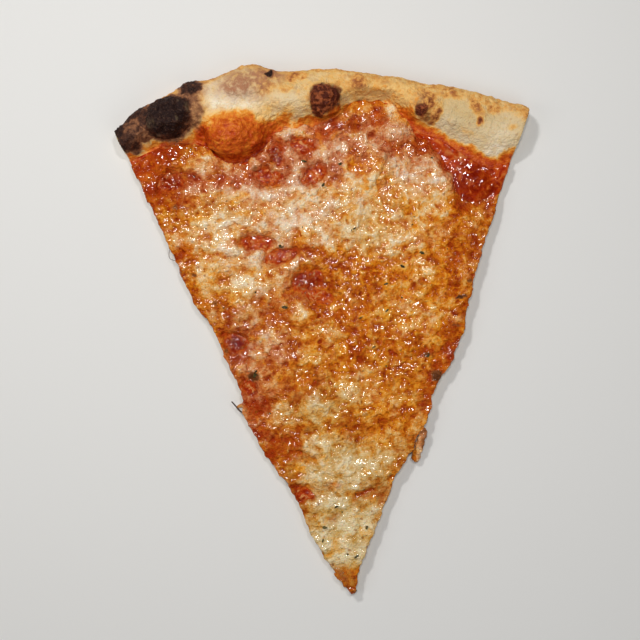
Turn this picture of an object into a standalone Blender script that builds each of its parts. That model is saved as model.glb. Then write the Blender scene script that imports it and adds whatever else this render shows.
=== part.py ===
"""A slice of thin cheese pizza, an eighth of a 20 inch pie, in metres, lying flat on its base.

It has three solids: the baked dough with its puffed and blistered rim, the tomato sauce on the
dough, and the melted cheese on the sauce. The sauce and the cheese run out to both cut sides. The
shapes are worked out with the tip of the slice at x 0, y 0 and the rim towards +Y, and are centred
on their bounding box at the end.
"""

import math

import bmesh
import bpy
from mathutils import Matrix, Vector, noise

# Driving dimensions of the pizza.
PIZZA_RADIUS = 0.2540
BASE_THICKNESS = 0.0038
RIM_HEIGHT = 0.0128
SAUCE_THICKNESS = 0.0009
CHEESE_THICKNESS = 0.0021
LAYER_GAP = 0.0003

# Heights of the layers above the underside.
SAUCE_BOTTOM = BASE_THICKNESS + LAYER_GAP
SAUCE_TOP = SAUCE_BOTTOM + SAUCE_THICKNESS
CHEESE_BOTTOM = SAUCE_TOP + LAYER_GAP

# How far the rim stands out of the pizza's circle, as (degrees from the middle of the slice, distance).
OUTER_EDGE = (
    (-29.0, -0.0030),
    (-23.7, -0.0017),
    (-20.5, 0.0022),
    (-15.0, 0.0054),
    (-12.3, 0.0037),
    (-9.5, 0.0054),
    (-6.6, 0.0049),
    (-4.4, 0.0020),
    (0.0, 0.0006),
    (4.5, -0.0015),
    (9.0, -0.0030),
    (14.0, -0.0038),
    (29.0, -0.0036),
)

# The cut sides, as (distance from the tip along the slice, place across it).
LEFT_SIDE = (
    (0.000, -0.0008),
    (0.005, -0.0045),
    (0.010, -0.0078),
    (0.030, -0.0183),
    (0.048, -0.0247),
    (0.060, -0.0312),
    (0.067, -0.0364),
    (0.083, -0.0442),
    (0.088, -0.0470),
    (0.098, -0.0478),
    (0.106, -0.0498),
    (0.119, -0.0553),
    (0.131, -0.0590),
    (0.140, -0.0640),
    (0.144, -0.0674),
    (0.150, -0.0698),
    (0.172, -0.0776),
    (0.203, -0.0898),
    (0.231, -0.1010),
    (0.275, -0.1195),
)
RIGHT_SIDE = (
    (0.000, 0.0012),
    (0.006, 0.0024),
    (0.013, 0.0040),
    (0.020, 0.0073),
    (0.040, 0.0170),
    (0.050, 0.0212),
    (0.058, 0.0250),
    (0.065, 0.0308),
    (0.073, 0.0354),
    (0.081, 0.0388),
    (0.086, 0.0430),
    (0.092, 0.0438),
    (0.097, 0.0456),
    (0.108, 0.0530),
    (0.124, 0.0612),
    (0.130, 0.0628),
    (0.150, 0.0684),
    (0.175, 0.0778),
    (0.203, 0.0890),
    (0.231, 0.1004),
    (0.275, 0.1182),
)

# Where the bare rim starts, as (degrees from the middle of the slice, distance from the tip). The dip
# at the left goes round the big bubble.
RIM_FOOT = (
    (-29.0, 0.2360),
    (-20.0, 0.2368),
    (-16.0, 0.2335),
    (-14.3, 0.2290),
    (-13.0, 0.2200),
    (-11.4, 0.2166),
    (-9.6, 0.2176),
    (-7.0, 0.2230),
    (-5.2, 0.2285),
    (-2.0, 0.2280),
    (1.0, 0.2310),
    (4.0, 0.2385),
    (7.6, 0.2396),
    (9.6, 0.2335),
    (11.0, 0.2278),
    (14.0, 0.2255),
    (18.0, 0.2200),
    (21.5, 0.2180),
    (23.6, 0.2240),
    (29.0, 0.2260),
)
# Where the cheese ends towards the rim. It nearly meets the rim along most of it, and stops far short
# at the right, where a pool of sauce lies bare.
CHEESE_EDGE = (
    (-29.0, 0.2335),
    (-23.0, 0.2338),
    (-20.0, 0.2346),
    (-16.6, 0.2322),
    (-14.8, 0.2285),
    (-13.2, 0.2190),
    (-11.4, 0.2152),
    (-9.6, 0.2162),
    (-7.0, 0.2218),
    (-5.2, 0.2275),
    (-2.0, 0.2272),
    (1.0, 0.2300),
    (4.0, 0.2377),
    (7.4, 0.2386),
    (9.4, 0.2324),
    (11.2, 0.2254),
    (13.0, 0.2212),
    (15.0, 0.2160),
    (16.6, 0.2098),
    (18.0, 0.2010),
    (20.0, 0.1975),
    (22.0, 0.2010),
    (24.0, 0.2075),
    (29.0, 0.2100),
)

# Blisters that stand up from the rim, as (across, along, half length, half width, turn in degrees,
# height, crags).
BLISTERS = {
    "burnt blister": (-0.0733, 0.2360, 0.0115, 0.0092, 20.0, 0.0050, 0.0012),
    "small burnt blister": (-0.0628, 0.2490, 0.0055, 0.0042, 0.0, 0.0016, 0.0004),
    "brown crown": (-0.0361, 0.2505, 0.0160, 0.0090, 10.0, 0.0022, 0.0006),
    "red brown blister": (0.0018, 0.2394, 0.0078, 0.0084, 0.0, 0.0050, 0.0010),
    "pale blister": (0.0186, 0.2461, 0.0055, 0.0050, 0.0, 0.0011, 0.0),
    "dark dimpled blister": (0.0477, 0.2331, 0.0068, 0.0060, 0.0, 0.0024, 0.0003),
    "streak blister": (0.0535, 0.2290, 0.0052, 0.0022, 55.0, 0.0012, 0.0),
    "right blister": (0.0740, 0.2290, 0.0052, 0.0030, -50.0, 0.0009, 0.0),
    "left shoulder": (-0.0150, 0.2405, 0.0130, 0.0080, -25.0, 0.0014, 0.0),
    "sauced bubble": (-0.0424, 0.2225, 0.0155, 0.0112, -4.0, 0.0062, 0.0005),
}

# Openings in the cheese where the sauce shows, as (across, along, half length, half width, turn in
# degrees).
SAUCE_WINDOWS = (
    (-0.0755, 0.2052, 0.0046, 0.0034, 10.0),
    (-0.0236, 0.2150, 0.0024, 0.0033, 10.0),
    (-0.0105, 0.2190, 0.0052, 0.0028, -8.0),
    (-0.0272, 0.2050, 0.0064, 0.0026, -14.0),
    (-0.0066, 0.2042, 0.0046, 0.0032, 30.0),
    (-0.0360, 0.1730, 0.0054, 0.0028, -8.0),
    (-0.0248, 0.1664, 0.0060, 0.0024, 8.0),
    (-0.0124, 0.1536, 0.0060, 0.0038, 12.0),
    (-0.0070, 0.1458, 0.0056, 0.0024, -25.0),
    (-0.0490, 0.1255, 0.0046, 0.0030, -10.0),
    (-0.0438, 0.1045, 0.0028, 0.0036, 15.0),
    (-0.0205, 0.0515, 0.0043, 0.0030, -20.0),
)
# Bubbles in the cheese, as (across, along, radius, height).
CHEESE_BUBBLES = (
    (0.0224, 0.2072, 0.0112, 0.0024),
    (0.0111, 0.1823, 0.0060, 0.0011),
    (-0.0170, 0.1349, 0.0075, 0.0012),
    (0.0471, 0.1936, 0.0070, 0.0012),
    (-0.0585, 0.1960, 0.0080, 0.0013),
    (0.0330, 0.1200, 0.0085, 0.0011),
    (-0.0100, 0.0960, 0.0080, 0.0012),
    (0.0150, 0.0600, 0.0070, 0.0011),
)
# Flakes of dried herb, as (across, along, turn in degrees).
HERB_FLAKES = (
    (-0.0102, 0.2110, 20.0),
    (0.0072, 0.2086, -25.0),
    (-0.0017, 0.1992, 60.0),
    (0.0114, 0.1770, 15.0),
    (-0.0243, 0.1710, 25.0),
    (0.0436, 0.1634, 40.0),
    (0.0340, 0.1576, -20.0),
    (0.0254, 0.1496, 80.0),
    (0.0250, 0.1368, 70.0),
    (0.0125, 0.1342, -35.0),
    (-0.0240, 0.1415, 50.0),
    (0.0176, 0.1196, 10.0),
    (-0.0402, 0.1104, 0.0),
    (0.0434, 0.1140, 35.0),
    (-0.0052, 0.0440, 50.0),
    (-0.0114, 0.0345, 5.0),
    (0.0088, 0.0330, 30.0),
    (-0.0128, 0.0282, 45.0),
    (0.0029, 0.0196, -40.0),
)
HERB_FLAKE_SIZE = (0.0024, 0.0011, 0.0009)

# A tongue of cheese that has slipped over the right side, as (across, along, height, half width, half
# thickness).
CHEESE_TONGUE = (
    (0.0362, 0.0838, 0.0062, 0.0008, 0.0005),
    (0.0382, 0.0800, 0.0062, 0.0011, 0.0006),
    (0.0386, 0.0765, 0.0057, 0.0015, 0.0008),
    (0.0377, 0.0730, 0.0049, 0.0019, 0.0009),
    (0.0362, 0.0697, 0.0042, 0.0022, 0.0010),
    (0.0349, 0.0667, 0.0036, 0.0024, 0.0010),
    (0.0344, 0.0642, 0.0031, 0.0021, 0.0009),
    (0.0347, 0.0625, 0.0028, 0.0010, 0.0005),
)

# The turned stock reaches behind the tip and past both cut sides, and is then cut to the slice's outline.
STOCK_AXIS_Y = -0.030
STOCK_INNER_RADIUS = 0.018
STOCK_RIM_FOOT = 0.256
STOCK_RIM_EDGE = 0.284
STOCK_HALF_ANGLE = 25.0
STOCK_COLUMNS = 84
CUTTER_DEPTH = 0.060


def clear_scene():
    for old in list(bpy.data.objects):
        bpy.data.objects.remove(old, do_unlink=True)


def collection(name):
    made = bpy.data.collections.new(name)
    bpy.context.scene.collection.children.link(made)
    return made


def material(name, colour, roughness):
    made = bpy.data.materials.new(name)
    made.use_nodes = True
    shader = made.node_tree.nodes["Principled BSDF"]
    shader.inputs["Base Color"].default_value = (*colour, 1.0)
    shader.inputs["Roughness"].default_value = roughness
    shader.inputs["Metallic"].default_value = 0.0
    return made


def new_object(name, mesh, group):
    made = bpy.data.objects.new(name, mesh)
    group.objects.link(made)
    return made


def mesh_object(name, bm, group):
    mesh = bpy.data.meshes.new(name)
    bm.to_mesh(mesh)
    bm.free()
    return new_object(name, mesh, group)


def along(table, place):
    """The value at a place on the smooth line through a table of (place, value) points."""
    place = min(max(place, table[0][0]), table[-1][0])
    start = max(i for i, point in enumerate(table[:-1]) if point[0] <= place)

    def slope(i):
        before, after = table[max(i - 1, 0)], table[min(i + 1, len(table) - 1)]
        return (after[1] - before[1]) / (after[0] - before[0])

    (low, first), (high, last) = table[start], table[start + 1]
    span = high - low
    t = (place - low) / span
    return (
        first * (2 * t**3 - 3 * t**2 + 1)
        + slope(start) * span * (t**3 - 2 * t**2 + t)
        + last * (3 * t**2 - 2 * t**3)
        + slope(start + 1) * span * (t**3 - t**2)
    )


def ease(value, low, high):
    """0 below low, 1 above high, and smooth between."""
    t = min(max((value - low) / (high - low), 0.0), 1.0)
    return t * t * (3 - 2 * t)


def wavy(x, y, size, seed):
    """Smooth noise between about -1 and 1, whose lumps are about size across."""
    return noise.noise(Vector((x / size, y / size, seed))) * 1.6


def bump(x, y, centre_x, centre_y, half_length, half_width, turn):
    """1 at the middle of an oval, falling smoothly to 0 at its edge."""
    c, s = math.cos(math.radians(turn)), math.sin(math.radians(turn))
    across, along_it = x - centre_x, y - centre_y
    u = (across * c + along_it * s) / half_length
    v = (along_it * c - across * s) / half_width
    reach = u * u + v * v
    return (1 - reach) ** 2 * (1 + 2 * reach) if reach < 1 else 0.0


def outer_radius(degrees):
    return PIZZA_RADIUS + along(OUTER_EDGE, degrees)


def rim_height(degrees):
    return RIM_HEIGHT * (1.0 - 0.004 * degrees + 0.09 * wavy(degrees * 0.004, 0, 0.03, 2.0))


def slice_outline(inset, far_edge=None, ragged=0.0, seed=0.0, step=0.004):
    """Points round the slice in order: up the left side from the tip, across the far end, and down the
    right. far_edge is a table of the far end's distance from the tip by angle. Without it the outline
    runs past the rim."""
    far_y = LEFT_SIDE[-1][0]
    rows = [inset + 0.0006 + i * step for i in range(int(far_y / step))]

    def edge(side, y):
        rough = ragged * (wavy(y, 0, 0.007, seed) + 0.5 * wavy(y, 0, 0.0028, seed + 5))
        return along(side, y) + (inset + rough) * (1 if side is LEFT_SIDE else -1)

    left = [Vector((edge(LEFT_SIDE, y), y, 0)) for y in rows]
    right = [Vector((edge(RIGHT_SIDE, y), y, 0)) for y in rows]
    if far_edge is None:
        return left + right[::-1]

    def inside(point):
        return point.length < along(far_edge, polar_angle(point)) - step / 2

    left = [p for p in left if inside(p)]
    right = [p for p in right if inside(p)]
    first, last = polar_angle(left[-1]), polar_angle(right[-1])
    count = int(math.radians(last - first) * PIZZA_RADIUS / step)
    arc = []
    for i in range(count + 1):
        degrees = first + (last - first) * i / count
        rough = ragged * 1.6 * wavy(degrees * 0.004, 0, 0.006, seed + 3)
        arc.append(from_polar(along(far_edge, degrees) + rough, degrees))
    return left + arc + right[::-1]


def polar_angle(point):
    """Degrees from the middle of the slice, seen from the tip."""
    return math.degrees(math.atan2(point.x, point.y))


def from_polar(radius, degrees):
    turn = math.radians(degrees)
    return Vector((radius * math.sin(turn), radius * math.cos(turn), 0))


def prism(name, points, group):
    """A cutter with this outline, standing from below the slice to above it."""
    bm = bmesh.new()
    face = bm.faces.new([bm.verts.new(p + Vector((0, 0, -CUTTER_DEPTH / 2))) for p in points])
    risen = bmesh.ops.extrude_face_region(bm, geom=[face])
    bmesh.ops.translate(
        bm, vec=(0, 0, CUTTER_DEPTH), verts=[g for g in risen["geom"] if isinstance(g, bmesh.types.BMVert)]
    )
    bmesh.ops.recalc_face_normals(bm, faces=bm.faces)
    made = mesh_object(name, bm, group)
    made.hide_render = True
    made.display_type = "WIRE"
    return made


def boolean(target, operation, cutter):
    modifier = target.modifiers.new(operation.lower(), "BOOLEAN")
    modifier.operation = operation
    modifier.solver = "EXACT"
    if isinstance(cutter, bpy.types.Collection):
        modifier.operand_type = "COLLECTION"
        modifier.collection = cutter
    else:
        modifier.object = cutter
    return modifier


def apply_modifiers(target):
    """Gives the object the mesh that its modifiers make, and removes them."""
    graph = bpy.context.evaluated_depsgraph_get()
    mesh = bpy.data.meshes.new_from_object(target.evaluated_get(graph))
    target.modifiers.clear()
    target.data = mesh


def remove_collection(group):
    for old in list(group.objects):
        bpy.data.objects.remove(old, do_unlink=True)
    bpy.data.collections.remove(group)


def section():
    """The whole pizza's cross-section, from the axis out along the underside, round the rim and back, in
    order, as (radius, share of the rim's width, height as a share of the rim's height). A point of the
    base has a radius, and a point of the rim has a share of its width."""
    crown, belly, tuck = 0.50, 0.42, 0.14
    points = [(STOCK_INNER_RADIUS, None, 0.0)]
    for step in range(5):
        turn = math.radians(-90 + 90 * step / 5)
        points.append((None, 1 - tuck + tuck * math.cos(turn), belly * (1 + math.sin(turn))))
    for step in range(11):
        turn = math.radians(90 * step / 10)
        share = crown + (1 - crown) * math.cos(turn) ** 0.8
        points.append((None, share, belly + (1 - belly) * math.sin(turn) ** 0.8))
    base_share = BASE_THICKNESS / RIM_HEIGHT
    for step in range(1, 10):
        turn = math.pi * step / 9
        height = base_share + (1 - base_share) * (1 + math.cos(turn)) / 2
        points.append((None, crown * (1 - step / 9), height))
    points.append((STOCK_INNER_RADIUS, None, base_share))
    return points


def turned_stock(bm):
    """Spins the cross-section round an axis behind the tip, with a level rim one rim width wide."""
    ring = []
    for radius, share, height in section():
        distance = radius
        if radius is None:
            distance = STOCK_RIM_FOOT + (STOCK_RIM_EDGE - STOCK_RIM_FOOT) * share
        ring.append(bm.verts.new((0, STOCK_AXIS_Y + distance, height * RIM_HEIGHT)))
    face = bm.faces.new(ring)
    axis = Vector((0, STOCK_AXIS_Y, 0))
    bmesh.ops.rotate(
        bm, verts=ring, cent=axis, matrix=Matrix.Rotation(math.radians(STOCK_HALF_ANGLE), 3, "Z")
    )
    bmesh.ops.spin(
        bm,
        geom=[face, *face.edges, *ring],
        cent=axis,
        axis=(0, 0, 1),
        angle=math.radians(-2 * STOCK_HALF_ANGLE),
        steps=STOCK_COLUMNS,
    )
    bmesh.ops.recalc_face_normals(bm, faces=bm.faces)


def dough_rise(x, y, height):
    """How far the baked surface stands out from the plain rim at a place."""
    rise = 0.0007 * wavy(x, y, 0.016, 4.0) + 0.00035 * wavy(x, y, 0.006, 5.0)
    for centre_x, centre_y, half_length, half_width, turn, top, crags in BLISTERS.values():
        share = bump(x, y, centre_x, centre_y, half_length, half_width, turn)
        if share > 0:
            rise += share**0.7 * top + share**0.5 * crags * wavy(x, y, 0.0032, 7.0)
    return rise * ease(height, BASE_THICKNESS * 0.5, BASE_THICKNESS * 1.6)


def make_dough(group, cutters):
    bm = bmesh.new()
    turned_stock(bm)
    axis = Vector((0, STOCK_AXIS_Y, 0))
    rim = []
    for vert in bm.verts:
        distance = (Vector((vert.co.x, vert.co.y, 0)) - axis).length
        share = (distance - STOCK_RIM_FOOT) / (STOCK_RIM_EDGE - STOCK_RIM_FOOT)
        if share < -0.01:
            continue
        degrees = polar_angle(vert.co)
        start = along(RIM_FOOT, degrees)
        place = from_polar(start + (outer_radius(degrees) - start) * share, degrees)
        swell = rim_height(degrees) / RIM_HEIGHT
        above = vert.co.z - BASE_THICKNESS
        place.z = BASE_THICKNESS + above * swell if above > 0 else vert.co.z
        vert.co = place
        rim.append(vert)
    bm.normal_update()
    moves = []
    for vert in rim:
        if vert.co.z > BASE_THICKNESS * 0.5:
            degrees = polar_angle(vert.co)
            clear_of_foot = ease(vert.co.to_2d().length - along(RIM_FOOT, degrees), 0.0005, 0.0060)
            height = max(vert.co.z, BASE_THICKNESS * 1.2)
            lift = dough_rise(vert.co.x, vert.co.y, height) * clear_of_foot
            direction = Vector((vert.normal.x, vert.normal.y, max(vert.normal.z, 0))).normalized()
            moves.append((vert, direction * lift))
    for vert, move in moves:
        vert.co += move
    bmesh.ops.dissolve_limit(bm, angle_limit=math.radians(0.05), verts=bm.verts, edges=bm.edges)
    bmesh.ops.triangulate(bm, faces=[f for f in bm.faces if len(f.verts) == 4])
    dough = mesh_object("dough", bm, group)
    boolean(dough, "INTERSECT", prism("dough_outline", slice_outline(0.0004, step=0.006), cutters))
    boolean(dough, "DIFFERENCE", crumb_pockets())
    return dough


def crumb_pockets():
    """Air pockets in the crumb, cut open on the two ends of the rim."""
    pockets = collection("crumb_pockets")
    for name, side, sign in (("left", LEFT_SIDE, -1), ("right", RIGHT_SIDE, 1)):
        for number in range(6):
            y = 0.2215 + 0.0042 * number + 0.0010 * wavy(number * 0.01, 0, 0.004, 11.0 + sign)
            height = 0.0058 + 0.0022 * wavy(number * 0.01, 0.01, 0.004, 13.0 + sign)
            size = 0.0014 + 0.0005 * wavy(number * 0.01, 0.02, 0.004, 17.0 + sign)
            bm = bmesh.new()
            bmesh.ops.create_icosphere(bm, subdivisions=1, radius=size)
            bmesh.ops.scale(bm, vec=(1.2, 1.5, 0.8), verts=bm.verts)
            bmesh.ops.translate(bm, vec=(along(side, y) - 0.0004 * sign, y, height), verts=bm.verts)
            pocket = mesh_object(f"pocket_{name}_{number}", bm, pockets)
            pocket.hide_render = True
            pocket.display_type = "WIRE"
    return pockets


def slab(name, group, spacing, bottom, top):
    """A block over the whole slice, level below and shaped above by the function top."""
    low, high = Vector((-0.108, -0.004, 0)), Vector((0.108, 0.252, 0))
    size = high - low
    bm = bmesh.new()
    bmesh.ops.create_grid(
        bm, x_segments=round(size.x / spacing), y_segments=round(size.y / spacing), size=0.5
    )
    bmesh.ops.scale(bm, vec=(size.x, size.y, 1), verts=bm.verts)
    bmesh.ops.translate(bm, vec=(low + high) / 2 + Vector((0, 0, bottom)), verts=bm.verts)
    floor = list(bm.faces)
    risen = bmesh.ops.extrude_face_region(bm, geom=floor)
    for vert in (g for g in risen["geom"] if isinstance(g, bmesh.types.BMVert)):
        vert.co.z = top(vert.co.x, vert.co.y)
    bmesh.ops.recalc_face_normals(bm, faces=bm.faces)
    bmesh.ops.dissolve_limit(bm, angle_limit=math.radians(0.05), verts=bm.verts, edges=bm.edges)
    bmesh.ops.triangulate(bm, faces=[f for f in bm.faces if len(f.verts) == 4])
    return mesh_object(name, bm, group)


def bare_sauce(x, y):
    """0 under the cheese, rising to 1 where the sauce lies bare between the cheese and the rim."""
    place = Vector((x, y, 0))
    return ease(place.length - along(CHEESE_EDGE, polar_angle(place)), 0.0028, 0.0060)


def sauce_surface(x, y):
    return SAUCE_TOP + bare_sauce(x, y) * (0.0009 + 0.0007 * wavy(x, y, 0.008, 21.0))


def cheese_surface(x, y):
    place = Vector((x, y, 0))
    to_edge = along(CHEESE_EDGE, polar_angle(place)) - place.length
    thickness = CHEESE_THICKNESS * (0.62 + 0.38 * ease(y, 0.01, 0.09))
    thickness += 0.00065 * wavy(x, y, 0.017, 31.0) + 0.00045 * wavy(x, y, 0.0075, 33.0)
    for centre_x, centre_y, radius, height in CHEESE_BUBBLES:
        thickness += height * bump(x, y, centre_x, centre_y, radius, radius, 0.0) ** 0.7
    for centre_x, centre_y, half_length, half_width, turn in SAUCE_WINDOWS:
        reach = bump(x, y, centre_x, centre_y, half_length * 2.1, half_width * 2.4, turn)
        thickness -= 0.0015 * reach
    thickness *= 0.45 + 0.55 * ease(to_edge, 0.0, 0.007)
    return CHEESE_BOTTOM + max(thickness, 0.0008)


def make_sauce(group, cutters):
    sauce = slab("sauce", group, 0.0054, SAUCE_BOTTOM, sauce_surface)
    edge = tuple((degrees, radius - LAYER_GAP * 2) for degrees, radius in RIM_FOOT)
    outline = slice_outline(0.0009, far_edge=edge, step=0.005)
    boolean(sauce, "INTERSECT", prism("sauce_outline", outline, cutters))
    return sauce


def window_cutters():
    windows = collection("sauce_windows")
    for number, (x, y, half_length, half_width, turn) in enumerate(SAUCE_WINDOWS):
        bm = bmesh.new()
        bmesh.ops.create_cone(
            bm, cap_ends=True, segments=18, radius1=1.0, radius2=1.0, depth=CUTTER_DEPTH
        )
        for vert in bm.verts:
            lobes = 1 + 0.34 * wavy(vert.co.x, vert.co.y, 0.8, 40.0 + number)
            vert.co.x *= half_length * lobes
            vert.co.y *= half_width * lobes
        place = Matrix.Translation((x, y, 0)) @ Matrix.Rotation(math.radians(turn), 4, "Z")
        bmesh.ops.transform(bm, matrix=place, verts=bm.verts)
        window = mesh_object(f"window_{number}", bm, windows)
        window.hide_render = True
        window.display_type = "WIRE"
    return windows


def cheese_tongue(group):
    """The tongue that hangs from the cheese's right edge, as oval rings joined from end to end."""
    bm = bmesh.new()
    centres = [Vector(station[:3]) for station in CHEESE_TONGUE]
    rings = []
    for i, (x, y, z, half_width, half_thickness) in enumerate(CHEESE_TONGUE):
        heading = (centres[min(i + 1, len(centres) - 1)] - centres[max(i - 1, 0)]).normalized()
        across = heading.cross(Vector((0, 0, 1))).normalized()
        upward = across.cross(heading)
        ring = []
        for step in range(12):
            turn = math.tau * step / 12
            reach = across * half_width * math.cos(turn) + upward * half_thickness * math.sin(turn)
            ring.append(bm.verts.new(centres[i] + reach))
        rings.append(ring)
    for ring, following in zip(rings, rings[1:]):
        for step in range(12):
            onward = (step + 1) % 12
            bm.faces.new((ring[step], ring[onward], following[onward], following[step]))
    bm.faces.new(rings[0])
    bm.faces.new(rings[-1])
    bmesh.ops.recalc_face_normals(bm, faces=bm.faces)
    return mesh_object("tongue", bm, group)


def herb_flakes(group):
    """Small chips of dried herb, half sunk in the cheese."""
    for number, (x, y, turn) in enumerate(HERB_FLAKES):
        bm = bmesh.new()
        bmesh.ops.create_cube(bm, size=1.0)
        bmesh.ops.scale(bm, vec=HERB_FLAKE_SIZE, verts=bm.verts)
        taper = [v for v in bm.verts if v.co.x > 0]
        bmesh.ops.scale(bm, vec=(1, 0.4, 0.7), verts=taper)
        place = Matrix.Translation((x, y, cheese_surface(x, y)))
        place @= Matrix.Rotation(math.radians(turn), 4, "Z")
        bmesh.ops.transform(bm, matrix=place, verts=bm.verts)
        mesh_object(f"flake_{number}", bm, group)


def make_cheese(group, cutters):
    cheese = slab("cheese", group, 0.0034, CHEESE_BOTTOM, cheese_surface)
    outline = slice_outline(0.0005, far_edge=CHEESE_EDGE, ragged=0.0006, seed=50.0, step=0.0036)
    boolean(cheese, "INTERSECT", prism("cheese_outline", outline, cutters))
    boolean(cheese, "DIFFERENCE", window_cutters())
    joined = collection("joined_to_cheese")
    cheese_tongue(joined)
    herb_flakes(joined)
    boolean(cheese, "UNION", joined)
    apply_modifiers(cheese)
    remove_collection(joined)
    return cheese


def centre_on_box(objects):
    """Moves the slice so that its origin is at the middle of the underside of its bounding box."""
    graph = bpy.context.evaluated_depsgraph_get()
    corners = []
    for item in objects:
        mesh = item.evaluated_get(graph).to_mesh()
        corners += [item.matrix_world @ v.co for v in mesh.vertices]
        item.evaluated_get(graph).to_mesh_clear()
    low = Vector(min(c[i] for c in corners) for i in range(3))
    high = Vector(max(c[i] for c in corners) for i in range(3))
    shift = Vector(((low.x + high.x) / 2, (low.y + high.y) / 2, low.z))
    for item in bpy.data.objects:
        item.location -= shift


def main():
    clear_scene()
    slice_parts = collection("pizza_slice")
    cutters = collection("cutters")
    dough = make_dough(slice_parts, cutters)
    sauce = make_sauce(slice_parts, cutters)
    cheese = make_cheese(slice_parts, cutters)
    dough.data.materials.append(material("baked dough", (0.62, 0.40, 0.19), 0.75))
    sauce.data.materials.append(material("tomato sauce", (0.42, 0.06, 0.015), 0.35))
    cheese.data.materials.append(material("melted cheese", (0.62, 0.30, 0.09), 0.40))
    centre_on_box([dough, sauce, cheese])


main()
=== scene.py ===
import math
import random

import bmesh
import bpy
import numpy as np
from mathutils import Matrix, Vector, noise
from mathutils.bvhtree import BVHTree


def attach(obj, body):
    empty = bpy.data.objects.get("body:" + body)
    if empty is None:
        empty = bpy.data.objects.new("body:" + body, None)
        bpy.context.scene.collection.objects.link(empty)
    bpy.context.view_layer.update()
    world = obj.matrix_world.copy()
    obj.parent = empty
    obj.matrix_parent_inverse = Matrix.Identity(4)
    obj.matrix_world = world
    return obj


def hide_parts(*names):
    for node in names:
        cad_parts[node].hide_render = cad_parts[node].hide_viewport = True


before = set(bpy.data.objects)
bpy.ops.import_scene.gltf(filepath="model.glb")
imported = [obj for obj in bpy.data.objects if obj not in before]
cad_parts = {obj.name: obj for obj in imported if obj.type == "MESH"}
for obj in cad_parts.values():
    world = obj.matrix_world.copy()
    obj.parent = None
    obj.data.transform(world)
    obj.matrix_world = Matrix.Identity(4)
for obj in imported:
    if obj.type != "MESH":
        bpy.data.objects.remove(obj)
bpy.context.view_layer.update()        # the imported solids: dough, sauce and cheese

# Places are in millimetres from the tip of the slice: across, then along towards the rim.
# An oval in a table is across, along, half length, half width, strength, and its turn in degrees
# if it has one.
mm = 0.001
print("pizza slice: frame loaded")

camera = {
    "lookAt": (-7.4, 134.3),     # the middle of the photograph
    "turn": -3.65,               # degrees
    "height": 500.0,
    "level": 7.0,                # the height of the cheese
    "viewWidth": 308.5,          # what the frame takes in at that height
}
lights = {
    # name: (across, along, height, long side, short side, watts, colour)
    "main lamp": (-300.0, 600.0, 640.0, 120.0, 60.0, 2.45, (1.0, 0.985, 0.96)),
    "second lamp": (120.0, 350.0, 700.0, 60.0, 32.0, 0.95, (1.0, 0.985, 0.96)),
    "third lamp": (-40.0, 240.0, 660.0, 48.0, 26.0, 0.80, (1.0, 0.985, 0.96)),
    "side": (-620.0, 40.0, 560.0, 420.0, 420.0, 0.8, (1.0, 0.98, 0.95)),
    "fill": (320.0, -380.0, 640.0, 600.0, 600.0, 1.05, (0.97, 0.98, 1.0)),
}
surroundings = (1.0, 0.98, 0.95, 0.125)   # colour and strength of the soft light all round


# Helpers for meshes


def sliceTip():
    points = [v.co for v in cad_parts["dough"].data.vertices]
    lowest = min(p.y for p in points)
    near = [p for p in points if p.y < lowest + 0.2 * mm]
    return Vector((sum(p.x for p in near) / len(near), lowest - 1.0 * mm, 0))


tip = sliceTip()
tipRow = np.array(tip)


def place(across, along, height=0.0):
    return tip + Vector((across, along, height)) * mm


def link(thing):
    bpy.context.scene.collection.objects.link(thing)


def newPiece(name, bm):
    mesh = bpy.data.meshes.new(name)
    bm.to_mesh(mesh)
    bm.free()
    piece = bpy.data.objects.new(name, mesh)
    link(piece)
    return piece


def solidCopy(node, name):
    bm = bmesh.new()
    bm.from_mesh(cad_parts[node].data)
    bmesh.ops.remove_doubles(bm, verts=bm.verts, dist=0.002 * mm)
    return newPiece(name, bm)


def applyModifiers(piece):
    graph = bpy.context.evaluated_depsgraph_get()
    mesh = bpy.data.meshes.new_from_object(piece.evaluated_get(graph))
    mesh.name = piece.name
    piece.modifiers.clear()
    piece.data = mesh


def voxelSkin(piece, size):
    remesh = piece.modifiers.new("skin", "REMESH")
    remesh.mode = "VOXEL"
    remesh.voxel_size = size
    applyModifiers(piece)


def thinFlats(piece, ratio):
    # collapses the faces that matter least, which are the flat ones under the toppings
    decimate = piece.modifiers.new("thin", "DECIMATE")
    decimate.ratio = ratio
    applyModifiers(piece)


def shadeSmooth(piece):
    piece.data.polygons.foreach_set("use_smooth", [True] * len(piece.data.polygons))


def dress(piece, keepFaces, material):
    thinFlats(piece, keepFaces)
    shadeSmooth(piece)
    piece.data.materials.clear()
    piece.data.materials.append(material)


def readRows(items, key):
    flat = np.empty(len(items) * 3)
    items.foreach_get(key, flat)
    return flat.reshape(-1, 3)


def surfaceOf(mesh):
    # its points, its normals, and its points in millimetres from the tip
    points = readRows(mesh.vertices, "co")
    return points, readRows(mesh.vertex_normals, "vector"), (points - tipRow) / mm


def writePoints(mesh, points):
    mesh.vertices.foreach_set("co", points.ravel())
    mesh.update()


def paint(mesh, **masks):
    # keeps each mask as an attribute that the materials read
    for name, values in masks.items():
        layer = mesh.attributes.new(name, "FLOAT", "POINT")
        layer.data.foreach_set("value", np.clip(values, 0, 1).astype(np.float32))


def ease(values, low, high):
    t = np.clip((values - low) / (high - low), 0, 1)
    return t * t * (3 - 2 * t)


def ripple(points, size, seed, octaves=1):
    # smooth noise, about -1 to 1, with lumps of this size in millimetres
    moved = (points / size + seed * 7.31).tolist()
    if octaves == 1:
        return 1.5 * np.array([noise.noise(p) for p in moved])
    return 1.2 * np.array([noise.fractal(p, 0.8, 2.0, octaves) for p in moved])


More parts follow.
